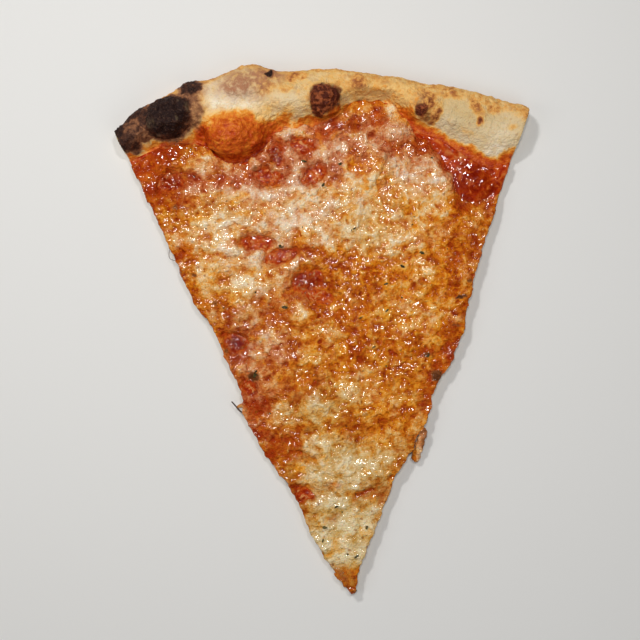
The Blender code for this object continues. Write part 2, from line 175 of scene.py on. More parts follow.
def cells(points, size, seed):
    # for each point, how far the nearest of many scattered seeds is, and that seed's own number, 0 to 1
    distances, numbers = [], []
    for p in (points / size + seed * 3.77).tolist():
        reach, seeds = noise.voronoi(p)
        distances.append(reach[0])
        mixed = seeds[0].x * 127.1 + seeds[0].y * 311.7 + seeds[0].z * 74.7
        numbers.append(math.sin(mixed) * 43758.5453 % 1.0)
    return np.array(distances), np.array(numbers)


def warped(points, size, amount, seed):
    # points pushed about by noise, so that what is drawn from them has a ragged outline
    return points + amount * np.stack([ripple(points, size, seed + k) for k in (0.1, 0.4, 0.7)], axis=1)


def ovalReach(points, across, along, halfLength, halfWidth, turn=0):
    # how far each point is from the middle of an oval, where 1 is on its outline
    c, s = math.cos(math.radians(turn)), math.sin(math.radians(turn))
    u = ((points[:, 0] - across) * c + (points[:, 1] - along) * s) / halfLength
    v = ((points[:, 1] - along) * c - (points[:, 0] - across) * s) / halfWidth
    return np.sqrt(u * u + v * v)


def patches(points, table, soft=0.5):
    # the strongest of many soft ovals
    best = np.zeros(len(points))
    for across, along, halfLength, halfWidth, strength, *turn in table:
        reach = ovalReach(points, across, along, halfLength, halfWidth, *turn)
        best = np.maximum(best, strength * (1 - ease(reach, 1 - soft, 1 + soft)))
    return best


def nearestReach(points, table):
    return np.minimum.reduce([ovalReach(points, *oval) for oval in table])


def polar(points):
    return np.hypot(points[:, 0], points[:, 1]), np.degrees(np.arctan2(points[:, 0], points[:, 1]))


# Shader groups, each used by more than one material


def socket(group, name, kind, default=None, out=False):
    made = group.interface.new_socket(name, in_out="OUTPUT" if out else "INPUT", socket_type=kind)
    if default is not None:
        made.default_value = default
    return made


class Graph:
    # short calls for adding linked nodes to a node tree
    def __init__(self, tree):
        self.tree = tree

    def add(self, kind, settings=None, **links):
        node = self.tree.nodes.new(kind)
        for key, value in (settings or {}).items():
            setattr(node, key, value)
        for key, value in links.items():
            self.feed(node.inputs[key.replace("_", " ")], value)
        return node

    def feed(self, target, value):
        if isinstance(value, bpy.types.NodeSocket):
            self.tree.links.new(value, target)
        elif isinstance(value, tuple) and len(value) == 3 and target.type == "RGBA":
            target.default_value = (*value, 1.0)
        else:
            target.default_value = value

    def math(self, operation, a, b=0.5, clamp=False):
        node = self.tree.nodes.new("ShaderNodeMath")
        node.operation = operation
        node.use_clamp = clamp
        self.feed(node.inputs[0], a)
        self.feed(node.inputs[1], b)
        return node.outputs[0]

    def times(self, a, b):
        return self.math("MULTIPLY", a, b)

    def plus(self, a, b, clamp=False):
        return self.math("ADD", a, b, clamp)

    def swing(self, value, amount):
        # a noise around 0.5 becomes one around nothing
        return self.times(self.math("SUBTRACT", value, 0.5), amount)

    def vector(self, operation, a, b):
        node = self.add("ShaderNodeVectorMath", {"operation": operation})
        self.feed(node.inputs[0], a)
        self.feed(node.inputs["Scale" if operation == "SCALE" else 1], b)
        return node.outputs[0]

    def span(self, value, low, high, toLow=0.0, toHigh=1.0):
        node = self.tree.nodes.new("ShaderNodeMapRange")
        node.interpolation_type = "SMOOTHSTEP"
        for key, number in (("From Min", low), ("From Max", high), ("To Min", toLow), ("To Max", toHigh)):
            self.feed(node.inputs[key], number)
        self.feed(node.inputs["Value"], value)
        return node.outputs["Result"]

    def mix(self, factor, a, b):
        node = self.tree.nodes.new("ShaderNodeMix")
        node.data_type = "RGBA"
        for number, value in ((0, factor), (6, a), (7, b)):     # its sockets for colours
            self.feed(node.inputs[number], value)
        return node.outputs[2]

    def attribute(self, name):
        node = self.tree.nodes.new("ShaderNodeAttribute")
        node.attribute_name = name
        return node.outputs["Fac"]

    def noise(self, vector, size, detail=2.0, rough=0.5, twist=0.0):
        return self.add("ShaderNodeTexNoise", Vector=vector, Scale=1 / (size * mm), Detail=detail,
                        Roughness=rough, Distortion=twist).outputs["Fac"]

    def ramp(self, value, stops):
        node = self.tree.nodes.new("ShaderNodeValToRGB")
        bands = node.color_ramp.elements
        while len(bands) < len(stops):
            bands.new(0.5)
        for band, (position, colour) in zip(bands, stops):
            band.position = position
            band.color = (*colour, 1.0)
        self.feed(node.inputs[0], value)
        return node.outputs[0]


def newGroup(name, inputs, outputs):
    group = bpy.data.node_groups.new(name, "ShaderNodeTree")
    for label, kind, default in inputs:
        socket(group, label, kind, default)
    for label, kind in outputs:
        socket(group, label, kind, out=True)
    start = group.nodes.new("NodeGroupInput")
    end = group.nodes.new("NodeGroupOutput")
    return group, Graph(group), start.outputs, end.inputs


def specksGroup():
    # round specks of one size, scattered at random: a share of the cells of a Voronoi pattern
    group, graph, given, wanted = newGroup(
        "specks",
        [("Vector", "NodeSocketVector", None), ("Size mm", "NodeSocketFloat", 1.5),
         ("Share", "NodeSocketFloat", 0.4), ("Edge", "NodeSocketFloat", 0.3)],
        [("Mask", "NodeSocketFloat")],
    )
    scale = graph.math("DIVIDE", 1000.0, given["Size mm"])
    wobble = graph.add("ShaderNodeTexNoise", Vector=given["Vector"], Detail=2.0,
                       Scale=graph.times(scale, 0.8))
    push = graph.vector("SUBTRACT", wobble.outputs["Color"], (0.5, 0.5, 0.5))
    push = graph.vector("SCALE", push, graph.times(given["Size mm"], 0.9 * mm))
    moved = graph.vector("ADD", given["Vector"], push)
    cell = graph.add("ShaderNodeTexVoronoi", Vector=moved, Scale=scale)
    number = graph.add("ShaderNodeSeparateColor", Color=cell.outputs["Color"])
    chosen = graph.math("LESS_THAN", number.outputs[0], given["Share"])
    reach = graph.plus(graph.times(number.outputs[1], 0.22), 0.20)
    near = graph.span(cell.outputs["Distance"], graph.plus(reach, given["Edge"]), reach)
    graph.feed(wanted["Mask"], graph.times(near, chosen))
    return group


def fineReliefGroup():
    # relief too fine for the mesh, from two sizes of noise
    group, graph, given, wanted = newGroup(
        "fine relief",
        [("Vector", "NodeSocketVector", None), ("Coarse mm", "NodeSocketFloat", 2.0),
         ("Fine mm", "NodeSocketFloat", 0.5), ("Fine Share", "NodeSocketFloat", 0.4)],
        [("Height", "NodeSocketFloat")],
    )
    coarse = graph.add("ShaderNodeTexNoise", Vector=given["Vector"], Detail=1.0, Roughness=0.5,
                       Scale=graph.math("DIVIDE", 1000.0, given["Coarse mm"]))
    fine = graph.add("ShaderNodeTexNoise", Vector=given["Vector"], Detail=0.5, Roughness=0.5,
                     Scale=graph.math("DIVIDE", 1000.0, given["Fine mm"]))
    small = graph.times(fine.outputs["Fac"], given["Fine Share"])
    graph.feed(wanted["Height"], graph.plus(coarse.outputs["Fac"], small))
    return group


specks = specksGroup()
fineRelief = fineReliefGroup()


def useGroup(graph, group, **links):
    node = graph.tree.nodes.new("ShaderNodeGroup")
    node.node_tree = group
    for key, value in links.items():
        graph.feed(node.inputs[key.replace("_", " ")], value)
    return node.outputs[0]


def scattered(graph, spot, size, share, edge):
    return useGroup(graph, specks, Vector=spot, Size_mm=size, Share=share, Edge=edge)


def grains(graph, spot, coarse, fine, share):
    return useGroup(graph, fineRelief, Vector=spot, Coarse_mm=coarse, Fine_mm=fine, Fine_Share=share)


def newMaterial(name):
    material = bpy.data.materials.new(name)
    material.use_nodes = True
    graph = Graph(material.node_tree)
    shader = material.node_tree.nodes["Principled BSDF"]
    spot = graph.add("ShaderNodeTexCoord").outputs["Object"]
    return material, graph, shader, spot


def setValues(shader, **values):
    for key, value in values.items():
        shader.inputs[key.replace("_", " ")].default_value = value


def bump(graph, shader, height, distance, target="Normal"):
    node = graph.add("ShaderNodeBump", Height=height, Distance=distance * mm, Strength=1.0)
    graph.feed(shader.inputs[target], node.outputs["Normal"])


# The melted cheese

openings = [                  # holes in the cheese that the sauce shows in, here without a strength
    (-75.5, 205.2, 4.6, 3.4, 10), (-23.6, 215.0, 2.4, 3.3, 10), (-10.5, 219.0, 5.2, 2.8, -8),
    (-27.2, 205.0, 6.4, 2.6, -14), (-6.6, 204.2, 4.6, 3.2, 30), (-36.0, 173.0, 5.4, 2.8, -8),
    (-24.8, 166.4, 6.0, 2.4, 8), (-12.4, 153.6, 6.0, 3.8, 12), (-7.0, 145.8, 5.6, 2.4, -25),
    (-49.0, 125.5, 4.6, 3.0, -10), (-43.8, 104.5, 2.8, 3.6, 15), (-20.5, 51.5, 4.3, 3.0, -20),
]

cheese = {
    "voxel": 0.6,
    "sink": 0.5,              # how far its underside is let down into the sauce
    "keepFaces": 0.62,
    "cream": [                # pale curds that haven't coloured
        (-60, 213, 8, 3, 0.5, 10), (-57, 211, 3.5, 5, 0.9), (-38, 197, 15, 3.6, 0.95, -8),
        (-15, 196, 14, 5, 0.8), (-11, 206, 8, 3, 0.7, -40), (-16, 225, 9, 3, 0.5),
        (5, 215, 10, 3, 0.75, 15), (22, 218, 7, 3, 0.8, -40), (35, 233, 6.5, 4, 0.8),
        (11, 233, 6, 3, 0.75, 50), (36, 222, 8, 5, 0.55, -30), (43, 203, 15, 6, 0.75, -20),
        (51, 206, 7, 4, 0.6), (10, 192, 13, 5.5, 0.8), (-50, 184, 15, 6, 0.75, 5), (-61, 177, 11, 5, 0.7),
        (-19, 183, 14, 7, 0.9), (0, 175, 13, 7, 0.75), (-52, 166, 8, 8, 0.9), (-62, 157, 8, 6, 0.75),
        (-38, 166, 6, 5, 0.8), (-35, 153, 13, 5, 0.9), (-15, 163, 8, 4, 0.5), (53, 185, 10, 6, 0.5),
        (26, 177, 16, 4, 0.65, 15), (32, 167, 7, 5, 0.45), (-19, 138, 6, 5, 0.7), (-42, 137, 6, 4, 0.5),
        (-36, 123, 8, 5, 0.6), (-13, 117, 6, 5, 0.75), (-4, 126, 7, 4, 0.45), (8, 103, 12, 6, 0.4),
        (-12, 92, 9, 8, 0.7), (-30, 92, 6, 3, 0.6), (-10, 74, 15, 6, 0.55), (28, 76, 8, 6, 0.5),
        (14, 95, 9, 4, 0.35), (10, 83, 9, 3, 0.35, 5), (1, 99, 7, 3, 0.4), (24, 88, 6, 3, 0.4),
        (0, 60, 19, 8, 0.7), (12, 67, 11, 4, 0.7), (-7, 48, 9, 6, 0.85), (10, 42, 8, 6, 0.75),
        (-4, 30, 15, 9, 1), (0, 20, 10, 6, 0.9), (46, 133, 11, 7, 0.4), (48, 153, 9, 7, 0.3),
        (33, 93, 6, 4, 0.45),
    ],
    "red": [                  # thin places that the sauce shows through
        (-86, 211, 7, 8, 0.9), (-79, 220, 9, 3, 0.9, 10), (-75.5, 205, 7, 5, 1, 10), (-77, 215, 3, 4, 0.8),
        (-82, 202, 5, 8, 0.6), (-62, 204, 9, 4, 0.45), (-66, 195, 9, 4, 0.4, -10), (-48, 204, 9, 4, 0.6),
        (-29, 205, 11, 4, 0.85, -10), (-23.6, 215, 4, 5, 0.9), (-11, 219, 8, 4, 0.95, -8),
        (-6.6, 204, 7, 5, 0.95, 30), (3, 226, 9, 3.5, 0.6, 35), (27, 229, 5, 3.5, 0.8),
        (14, 228, 6, 3, 0.55, 10), (33, 214, 3.5, 8, 0.5, 10), (53, 212, 11, 3.5, 0.8, -28),
        (66, 187, 6, 6, 0.6), (72, 184, 8, 5, 0.35), (60, 205, 7, 3.6, 1, -50), (63.5, 197, 3.4, 8, 1, 12),
        (57, 200, 2, 2, 0.6), (45, 208, 3, 2, 0.6), (-36, 173, 8, 4, 0.95, -8),
        (-25, 166.4, 9, 3.5, 0.9, 8), (-50, 163, 3.5, 6, 0.5), (-68, 172, 6, 5, 0.55),
        (-9, 170, 4, 5, 0.55), (-12.4, 153.6, 8.5, 5.5, 1, 12), (-7, 145.8, 8.5, 4, 0.85, -25),
        (-28, 146, 12, 3.5, 0.45), (-49, 140, 6, 3, 0.6), (-28, 138, 8, 3, 0.5, 10),
        (-49, 125.5, 7, 4.5, 0.9, -10), (-47, 118, 6, 3, 0.6), (-43.8, 104.5, 5.5, 6, 0.8, 15),
        (-40, 95, 7, 5, 0.75), (-19, 99, 12, 3, 0.55, -8), (-14, 105, 6, 3, 0.5), (4, 136, 11, 3, 0.5),
        (10, 128, 14, 7, 0.35), (24, 122, 5, 9, 0.5), (8, 118, 3.5, 8, 0.45), (51, 112, 5, 10, 0.65, -30),
        (47, 104, 5, 5, 0.8), (41.5, 92, 3.5, 8, 0.7), (44, 115, 4, 3, 0.5), (-23, 76, 3.5, 7, 0.85),
        (-32, 75, 8, 4, 0.65, 20), (-36, 70, 5, 6, 0.65), (-22, 69, 10, 2.5, 0.7, -15),
        (-40, 83, 4.5, 8, 0.6, 25), (-20.5, 51.5, 6.5, 4.5, 0.95, -20), (-6.5, 54, 4, 2.5, 0.7),
        (11, 49, 5, 2.5, 0.7), (-7, 38.5, 4, 2.5, 0.5), (5, 45, 4, 2.5, 0.4, -60), (-5, 13, 6, 3.5, 0.5),
        (58, 160, 4, 4, 0.4),
    ],
    "gold": [                 # orange and golden cheese, full of small darker dots
        (-50, 194, 9, 3, 0.8, 10), (-84, 214, 12, 9, 0.9), (-80, 200, 6, 10, 0.8), (20, 204, 9, 10, 1),
        (33, 190, 8, 3, 0.5, 20), (-60, 196, 8, 4, 0.6), (5, 183, 10, 3, 0.4), (-30, 190, 8, 3, 0.35),
        (40, 178, 22, 12, 0.5), (20, 150, 26, 16, 0.8), (50, 160, 16, 18, 0.7), (15, 125, 26, 18, 1),
        (-24, 146, 10, 4, 0.6), (-12, 139, 6, 4, 0.8), (22, 88, 20, 12, 0.8), (17, 74, 8, 3, 0.9),
        (-3, 84, 6, 9, 0.7, -30), (0, 5, 5, 9, 0.9), (22, 57, 3, 4, 0.8), (-60, 186, 8, 3, 0.6),
        (24, 236, 10, 3, 0.9, 10), (-22, 64, 4, 5, 0.7), (40, 130, 18, 20, 0.8), (-20, 110, 16, 10, 0.6),
        (30, 108, 16, 12, 0.9), (-54, 150, 8, 10, 0.4), (-28, 130, 10, 6, 0.5), (60, 176, 10, 8, 0.5),
    ],
    "base": [                 # how light the cheese is over wide areas, before the curds
        (-15, 190, 60, 20, 0.64), (-45, 170, 26, 26, 0.62, 10), (35, 200, 40, 16, 0.6),
        (30, 172, 34, 16, 0.58), (38, 150, 24, 22, 0.52), (0, 218, 40, 14, 0.47), (0, 62, 26, 14, 0.62),
        (-3, 34, 22, 24, 0.66), (-15, 150, 24, 14, 0.48), (-60, 200, 10, 10, 0.48), (14, 130, 30, 20, 0.45),
        (-5, 92, 18, 12, 0.44), (18, 93, 24, 13, 0.46), (8, 82, 24, 7, 0.41), (0, 11, 7, 7, 0.46),
        (-35, 120, 20, 20, 0.42), (-30, 84, 12, 10, 0.42),
    ],
    "yellow": [
        (-3, 30, 22, 30, 1), (0, 62, 28, 16, 0.8), (-10, 92, 18, 14, 0.6), (-55, 188, 16, 8, 0.35),
        (22, 180, 18, 10, 0.4), (0, 6, 8, 10, 0.8), (-45, 150, 16, 16, 0.2),
    ],
    "pink": [
        (0, 216, 44, 14, 1), (-38, 203, 34, 11, 0.9), (-66, 203, 8, 8, 0.5), (45, 205, 20, 12, 0.7),
        (-38, 120, 16, 24, 0.6, 10), (-45, 98, 14, 16, 0.5, 20), (-32, 168, 18, 10, 0.5),
        (6, 50, 16, 10, 0.5), (-28, 146, 20, 10, 0.4), (-24, 184, 34, 12, 0.5),
    ],
    "toast": [                # dark browned or burnt marks
        (47, 104, 3, 3, 0.62, 40), (33, 96.5, 5, 1.2, 0.25, 15), (-41, 109, 3.2, 2.6, 0.58),
        (-73.5, 193, 1.8, 1.5, 0.42), (61, 141, 3, 0.8, 0.7, 8), (58, 127.5, 2.2, 0.8, 0.45),
        (43, 114, 1.6, 1.2, 0.6), (-34, 209.5, 1.5, 1.2, 0.4), (11.5, 87.5, 1.3, 1.1, 0.35),
        (-57.5, 145.5, 1.4, 1, 0.45), (2, 1.6, 1.8, 1.8, 0.55), (-66.5, 160, 1.1, 1, 0.6),
        (-53.5, 122.5, 1.2, 1, 0.5), (66, 148.5, 1.1, 0.9, 0.6), (0, 6, 5, 8, 0.16),
        (-4, 10, 1.2, 4, 0.3, 30), (-21, 99, 3, 2, 0.2), (-17, 82, 2, 1.4, 0.3),
    ],
    "dim": [                  # places darker all over
        (-82, 211, 15, 14, 0.2), (-72, 222, 12, 4, 0.12, 8), (20, 206, 7, 6.5, 0.2, 20),
        (15.5, 213.6, 5, 1.5, 0.34, 10), (-12.4, 153.6, 7, 5, 0.14, 12), (-36, 173, 7, 4, 0.08),
        (56, 140, 10, 26, 0.06, -20), (-84, 195, 6, 12, 0.1), (62, 199, 4, 9, 0.2, 25),
        (66, 187, 7, 5, 0.1), (2, 224, 8, 4, 0.12, 20), (-38, 197, 16, 6, 0.08), (-84, 214, 8, 8, 0.12),
        (0, 4, 6, 8, 0.18), (-35, 120, 12, 14, 0.04), (-48, 127, 6, 4, 0.08, -10),
        (5, 215, 22, 7, 0.08, 10), (48, 105, 7, 8, 0.11),
    ],
    "lumps": [
        (-81, 216, 4.6, 3.6, 1, 20), (-74.5, 212.6, 4.4, 3.4, 0.9), (-64, 199, 5, 3, 0.6, 10),
        (-2, 222, 5, 3, 0.7, 20), (8, 227, 5, 3, 0.6, 30), (36, 226, 4, 6, 0.6, 30), (-32, 210, 5, 3, 0.5),
        (-19, 223, 4, 3, 0.6), (44, 214, 6, 3, 0.5, -30), (-44, 188, 7, 3, 0.4, 10), (-30, 116, 6, 3, 0.5),
        (4, 158, 8, 2.5, 0.5, 10),
    ],
    "oil": [                  # smoother places that catch the lamps
        (42, 194, 8, 4, 1, 10), (53, 192, 7, 5, 1), (66, 199, 5, 3, 0.8), (27, 178, 11, 4, 1, 10),
        (17.5, 206, 4, 5, 1), (25, 172, 6, 4, 0.8), (5, 162, 8, 3, 0.9), (31, 160, 5, 3, 0.9),
        (24, 149, 4, 3, 0.8), (-10, 128, 8, 3, 0.8, 10), (-27, 118, 9, 3, 0.8), (3, 116, 5, 5, 0.8),
        (-10, 65, 8, 3, 0.9), (15, 70, 14, 3.5, 1), (-12, 210, 4, 5, 0.8), (-44, 206, 8, 4, 0.6),
        (-60, 190, 8, 5, 0.5), (-45, 174, 8, 4, 0.6), (-38, 151, 7, 3, 0.6), (36, 132, 6, 4, 0.5),
        (-76, 210, 8, 8, 0.5), (-5, 36, 10, 8, 0.4),
    ],
    "crater": (20.0, 206.0, 10.0, 8.5),          # a broken bubble
    "ridge": (24.8, 205.0, 9.5, 1.9, 1.0, 58.0),  # the fold at its right side
    "poolEdge": (64, 199, 16, 16, 1.0),          # where it drops most, to the pool of sauce
    "tongue": (34.5, 61, 79.5, 7.0),      # lies beyond this across, between these along, below this height
    "heights": {              # of each kind of relief, in millimetres
        "blobs": 0.38, "curds": 0.52, "grain": 0.32, "strand": 0.34, "cream": 0.45, "red": 0.50,
        "pit": 0.55, "wall": 0.7, "crater": 1.0, "fold": 1.5, "lumps": 0.9, "opening": 0.9,
    },
}


def cheeseRelief(spot, upward):
    # the height of curds, strands and pits above the plain solid, and the patterns that colour follows
    high = cheese["heights"]
    ragged = warped(spot, 5.0, 1.3, 1)
    ragged = warped(ragged, 2.0, 0.45, 2)
    cream = patches(ragged, cheese["cream"])
    red = patches(ragged, cheese["red"])
    gold = patches(ragged, cheese["gold"])
    toast = patches(warped(spot, 2.0, 0.5, 9), cheese["toast"], 0.35)

    turned = ragged @ np.array([[0.978, -0.208, 0], [0.208, 0.978, 0], [0, 0, 1]])
    strand = 1 - np.abs(ripple(turned * np.array([0.26, 1, 1]), 2.6, 5)) * 1.6
    blobs = ripple(spot, 12.0, 3)
    curds = ripple(ragged, 4.2, 4, 2)
    grain = ripple(ragged, 1.7, 6, 2)
    distance, number = cells(warped(spot, 1.5, 0.4, 7), 3.0, 8)
    openShare = 0.16 + 0.34 * np.maximum(gold, red) - 0.10 * cream
    pit = ease(0.46 + 0.2 * number - distance, 0.0, 0.22) * (number < openShare)

    height = high["blobs"] * blobs + high["curds"] * curds + high["grain"] * grain
    height += high["strand"] * strand * (0.4 + 0.6 * cream)
    height += high["cream"] * cream - high["red"] * red - high["pit"] * pit
    ring = ovalReach(spot, *cheese["crater"])
    wall = np.exp(-(((ring - 1.0) / 0.16) ** 2))
    height += high["wall"] * wall * (0.7 + 0.3 * curds) - high["crater"] * (1 - ease(ring, 0.5, 0.95))
    fold = patches(spot, [cheese["ridge"]], 0.7)
    height += high["fold"] * fold + high["lumps"] * patches(ragged, cheese["lumps"], 0.7)
    opened = 1 - ease(nearestReach(ragged, openings), 1.0, 1.9)
    height -= high["opening"] * opened
    cream = np.maximum(np.maximum(cream, 0.6 * wall) * (1 - opened), 0.75 * fold)
    red = np.maximum(red, opened)
    gold = np.maximum(gold, 1 - ease(ring, 0.6, 1.0))
    return height * upward, cream, red, gold, toast, curds, strand, grain, pit, opened


def farEdge(spot):
    # how far each point is from the edge of the cheese that faces the rim
    radius, degrees = polar(spot)
    bins = np.clip(np.round((degrees + 40) * 2).astype(int), 0, 160)
    reach = np.zeros(161)
    np.maximum.at(reach, bins, radius)
    return reach[bins] - radius


def makeCheese():
    piece = solidCopy("cheese", "melted_cheese")
    voxelSkin(piece, cheese["voxel"] * mm)
    mesh = piece.data
    points, normals, spot = surfaceOf(mesh)
    bottom = np.percentile(spot[:, 2], 8)
    flat = spot * np.array([1, 1, 0.2])
    upward = ease(normals[:, 2], 0.15, 0.75)
    height, cream, red, gold, toast, curds, strand, grain, pit, opened = cheeseRelief(flat, upward)
    sideways = normals * np.array([1, 1, 0])
    torn = 0.30 * ripple(spot, 3.0, 21) + 0.26 * ripple(spot, 1.4, 22, 2)
    rough = (1 - upward) * (normals[:, 2] > -0.5) * torn
    points = points + sideways * rough[:, None] * mm
    for axis in (0, 1):       # breaks up the smooth outlines of the solid
        points[:, axis] += (0.55 * ripple(flat, 3.6, 24 + axis) + 0.25 * ripple(flat, 1.6, 26 + axis)) * mm
    rimward = 1 - ease(farEdge(spot) + 1.2 * ripple(flat, 6.0, 28), 0.5, 5.0)
    creep = rimward * (0.7 + 1.3 * ripple(flat, 5.5, 29))
    outward = spot[:, :2] / np.maximum(np.hypot(spot[:, 0], spot[:, 1]), 1)[:, None]
    points[:, :2] += outward * creep[:, None] * mm
    drop = 0.25 + 0.8 * patches(flat, [cheese["poolEdge"]])
    points[:, 2] += (height * (1 - 0.4 * rimward) - drop * rimward * upward) * mm
    under = (normals[:, 2] < -0.5) & (spot[:, 2] < bottom + 0.4)
    points[under, 2] -= cheese["sink"] * mm
    beyond, first, last, top = cheese["tongue"]
    within = (spot[:, 1] > first) & (spot[:, 1] < last) & (spot[:, 2] < top)
    flap = np.maximum(0, spot[:, 0] - beyond) * within
    onFlap = ease(flap, 0.0, 0.8)
    points += normals * (onFlap * (0.45 * ripple(spot, 1.9, 43, 2)))[:, None] * mm
    writePoints(mesh, points)

    wide = warped(flat, 14.0, 4.0, 30)
    base = np.maximum(0.36, patches(wide, cheese["base"], 0.6))
    net = 1 - 2.4 * np.abs(ripple(warped(flat, 6.0, 1.6, 34), 6.5, 35, 2))
    clouds = ripple(warped(flat, 8.0, 2.0, 38), 7.0, 39, 2)
    tone = base + (0.84 - base) * 0.85 * cream
    tone += 0.20 * clouds + 0.17 * curds + 0.15 * (strand - 0.4) + 0.09 * grain + 0.12 * net - 0.18 * pit
    tone -= 0.04 + 0.16 * red + rimward * (0.06 + 0.22 * ripple(flat, 4.5, 36))
    tone -= patches(warped(flat, 4.0, 1.2, 44), cheese["dim"], 0.6)
    gold = np.clip(gold * (0.75 + 0.9 * ripple(warped(flat, 7.0, 2.0, 40), 6.0, 41, 2)), 0, 1)
    outer = ease(spot[:, 0], 36.6, 38.2) * ease(spot[:, 1], 65.0, 69.0)
    toast = np.maximum(toast, onFlap * 0.50 * outer * (0.8 + 0.4 * ripple(flat, 2.5, 37)))
    tone = np.where(onFlap > 0.5, 0.66 - 0.16 * outer + 0.2 * curds, tone)
    paint(mesh, tone=tone, gold=gold, toast=toast,
          red=np.maximum(opened, red * (1 - 0.5 * cream) * (0.80 + 0.35 * ripple(spot, 3.0, 33))),
          yellow=patches(wide, cheese["yellow"], 0.6),
          pink=np.maximum(0.6 * onFlap, patches(wide, cheese["pink"], 0.6)),
          # side marks the steep cut sides of the cheese, which the material darkens as painted shade
          side=(1 - upward) * (1 - rimward) * (1 - opened),
          oil=patches(warped(flat, 5.0, 1.5, 42), cheese["oil"], 0.6))
    dress(piece, cheese["keepFaces"], cheeseMaterial())
    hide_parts("cheese")
    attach(piece, "root")
    return piece


cheeseColours = {             # from the deepest orange to the palest curd
    "orange": [(0.290, 0.026, 0.002), (0.425, 0.072, 0.003), (0.585, 0.150, 0.006), (0.715, 0.265, 0.035),
               (0.820, 0.430, 0.130), (0.890, 0.590, 0.290), (0.940, 0.750, 0.490)],
    "yellow": [(0.300, 0.050, 0.002), (0.420, 0.120, 0.006), (0.530, 0.230, 0.030), (0.620, 0.350, 0.085),
               (0.690, 0.460, 0.180), (0.790, 0.590, 0.300), (0.880, 0.730, 0.450)],
    "pink": [(0.270, 0.028, 0.006), (0.410, 0.080, 0.020), (0.560, 0.160, 0.055), (0.680, 0.280, 0.125),
             (0.780, 0.430, 0.240), (0.870, 0.590, 0.400), (0.930, 0.740, 0.590)],
    "amber": [(0.400, 0.052, 0.002), (0.560, 0.115, 0.003), (0.720, 0.205, 0.006), (0.840, 0.320, 0.018),
              (0.900, 0.450, 0.085), (0.930, 0.600, 0.250), (0.950, 0.740, 0.480)],
    "stops": [0.0, 0.18, 0.36, 0.52, 0.68, 0.84, 1.0],
    "sauce": [(0.30, (0.300, 0.017, 0.002)), (0.48, (0.450, 0.042, 0.003)), (0.64, (0.620, 0.110, 0.009))],
    "brown": (0.320, 0.080, 0.005),
    # the dark and light ends of the painted shade on the cut sides of the cheese
    "sideShadeDark": (0.300, 0.060, 0.010),
    "sideShadeLight": (0.640, 0.290, 0.090),
    "toast": [(0.0, (0.480, 0.200, 0.060)), (0.40, (0.270, 0.085, 0.022)), (0.75, (0.090, 0.026, 0.010)),
              (1.0, (0.040, 0.014, 0.008))],
}


def cheeseMaterial():
    material, graph, shader, spot = newMaterial("melted cheese")
    c = cheeseColours
    mottle = graph.noise(spot, 2.4, 4.0, 0.62, 0.6)
    small = graph.noise(spot, 0.9, 2.0, 0.6)
    field = graph.noise(spot, 7.5, 3.0, 0.55, 0.7)
    dots = scattered(graph, spot, 2.2, 0.24, 0.30)
    dots = graph.times(dots, graph.span(graph.attribute("gold"), 0.0, 0.8, 0.25, 1.0))
    tone = graph.plus(graph.attribute("tone"), graph.swing(mottle, 0.48))
    tone = graph.plus(tone, graph.swing(small, 0.60))
    tone = graph.math("SUBTRACT", tone, graph.times(dots, 0.13), clamp=True)

    def shade(name):
        return graph.ramp(tone, list(zip(c["stops"], c[name])))

    pink = graph.plus(graph.attribute("pink"), graph.span(field, 0.48, 0.36, 0.0, 0.45), clamp=True)
    base = graph.mix(pink, shade("orange"), shade("pink"))
    base = graph.mix(graph.attribute("yellow"), base, shade("yellow"))
    gold = graph.times(graph.attribute("gold"), graph.span(mottle, 0.35, 0.65, 0.35, 0.95))
    gold = graph.plus(gold, graph.span(field, 0.52, 0.66, 0.0, 0.60), clamp=True)
    base = graph.mix(gold, base, shade("amber"))
    red = graph.times(graph.attribute("red"), graph.span(mottle, 0.66, 0.42, 0.45, 1.0))
    base = graph.mix(red, base, graph.ramp(field, c["sauce"]))
    freckles = graph.span(graph.noise(spot, 1.5, 3.0, 0.7, 0.8), 0.67, 0.74)
    base = graph.mix(graph.times(freckles, 0.42), base, c["brown"])
    pepper = scattered(graph, spot, 1.7, 0.035, 0.22)
    base = graph.mix(graph.times(pepper, 0.60), base, c["brown"])
    # painted shade: the steep cut sides are darkened to crimson and orange, standing in for the shade and the
    # browned crust along the edge
    side = graph.mix(graph.span(mottle, 0.40, 0.62), c["sideShadeDark"], c["sideShadeLight"])
    base = graph.mix(graph.times(graph.attribute("side"), 0.75), base, side)
    scorch = graph.plus(graph.attribute("toast"), graph.swing(mottle, 0.7))
    base = graph.mix(graph.span(graph.attribute("toast"), 0.03, 0.60), base, graph.ramp(scorch, c["toast"]))
    graph.feed(shader.inputs["Base Color"], base)
    oilPatches = graph.span(graph.noise(spot, 12.0, 3.0), 0.42, 0.58, 0.10, 1.0)
    graph.feed(shader.inputs["Coat Weight"], graph.plus(oilPatches, graph.attribute("oil"), clamp=True))
    setValues(shader, Roughness=0.5, Coat_Roughness=0.10, Coat_IOR=1.54, Specular_IOR_Level=0.04,
              Subsurface_Weight=0.15, Subsurface_Radius=(1.0, 0.45, 0.2), Subsurface_Scale=1.2 * mm)
    relief = grains(graph, spot, 1.8, 0.85, 0.85)
    relief = graph.math("SUBTRACT", relief, graph.times(dots, 0.3))
    relief = graph.times(relief, graph.span(graph.attribute("oil"), 0.1, 0.9, 1.0, 0.60))
    bump(graph, shader, relief, 0.95)
    # the film of oil is smoother than the cheese below it
    bump(graph, shader, graph.noise(spot, 1.3, 2.0, 0.5), 0.06, "Coat Normal")
    return material


# The dough

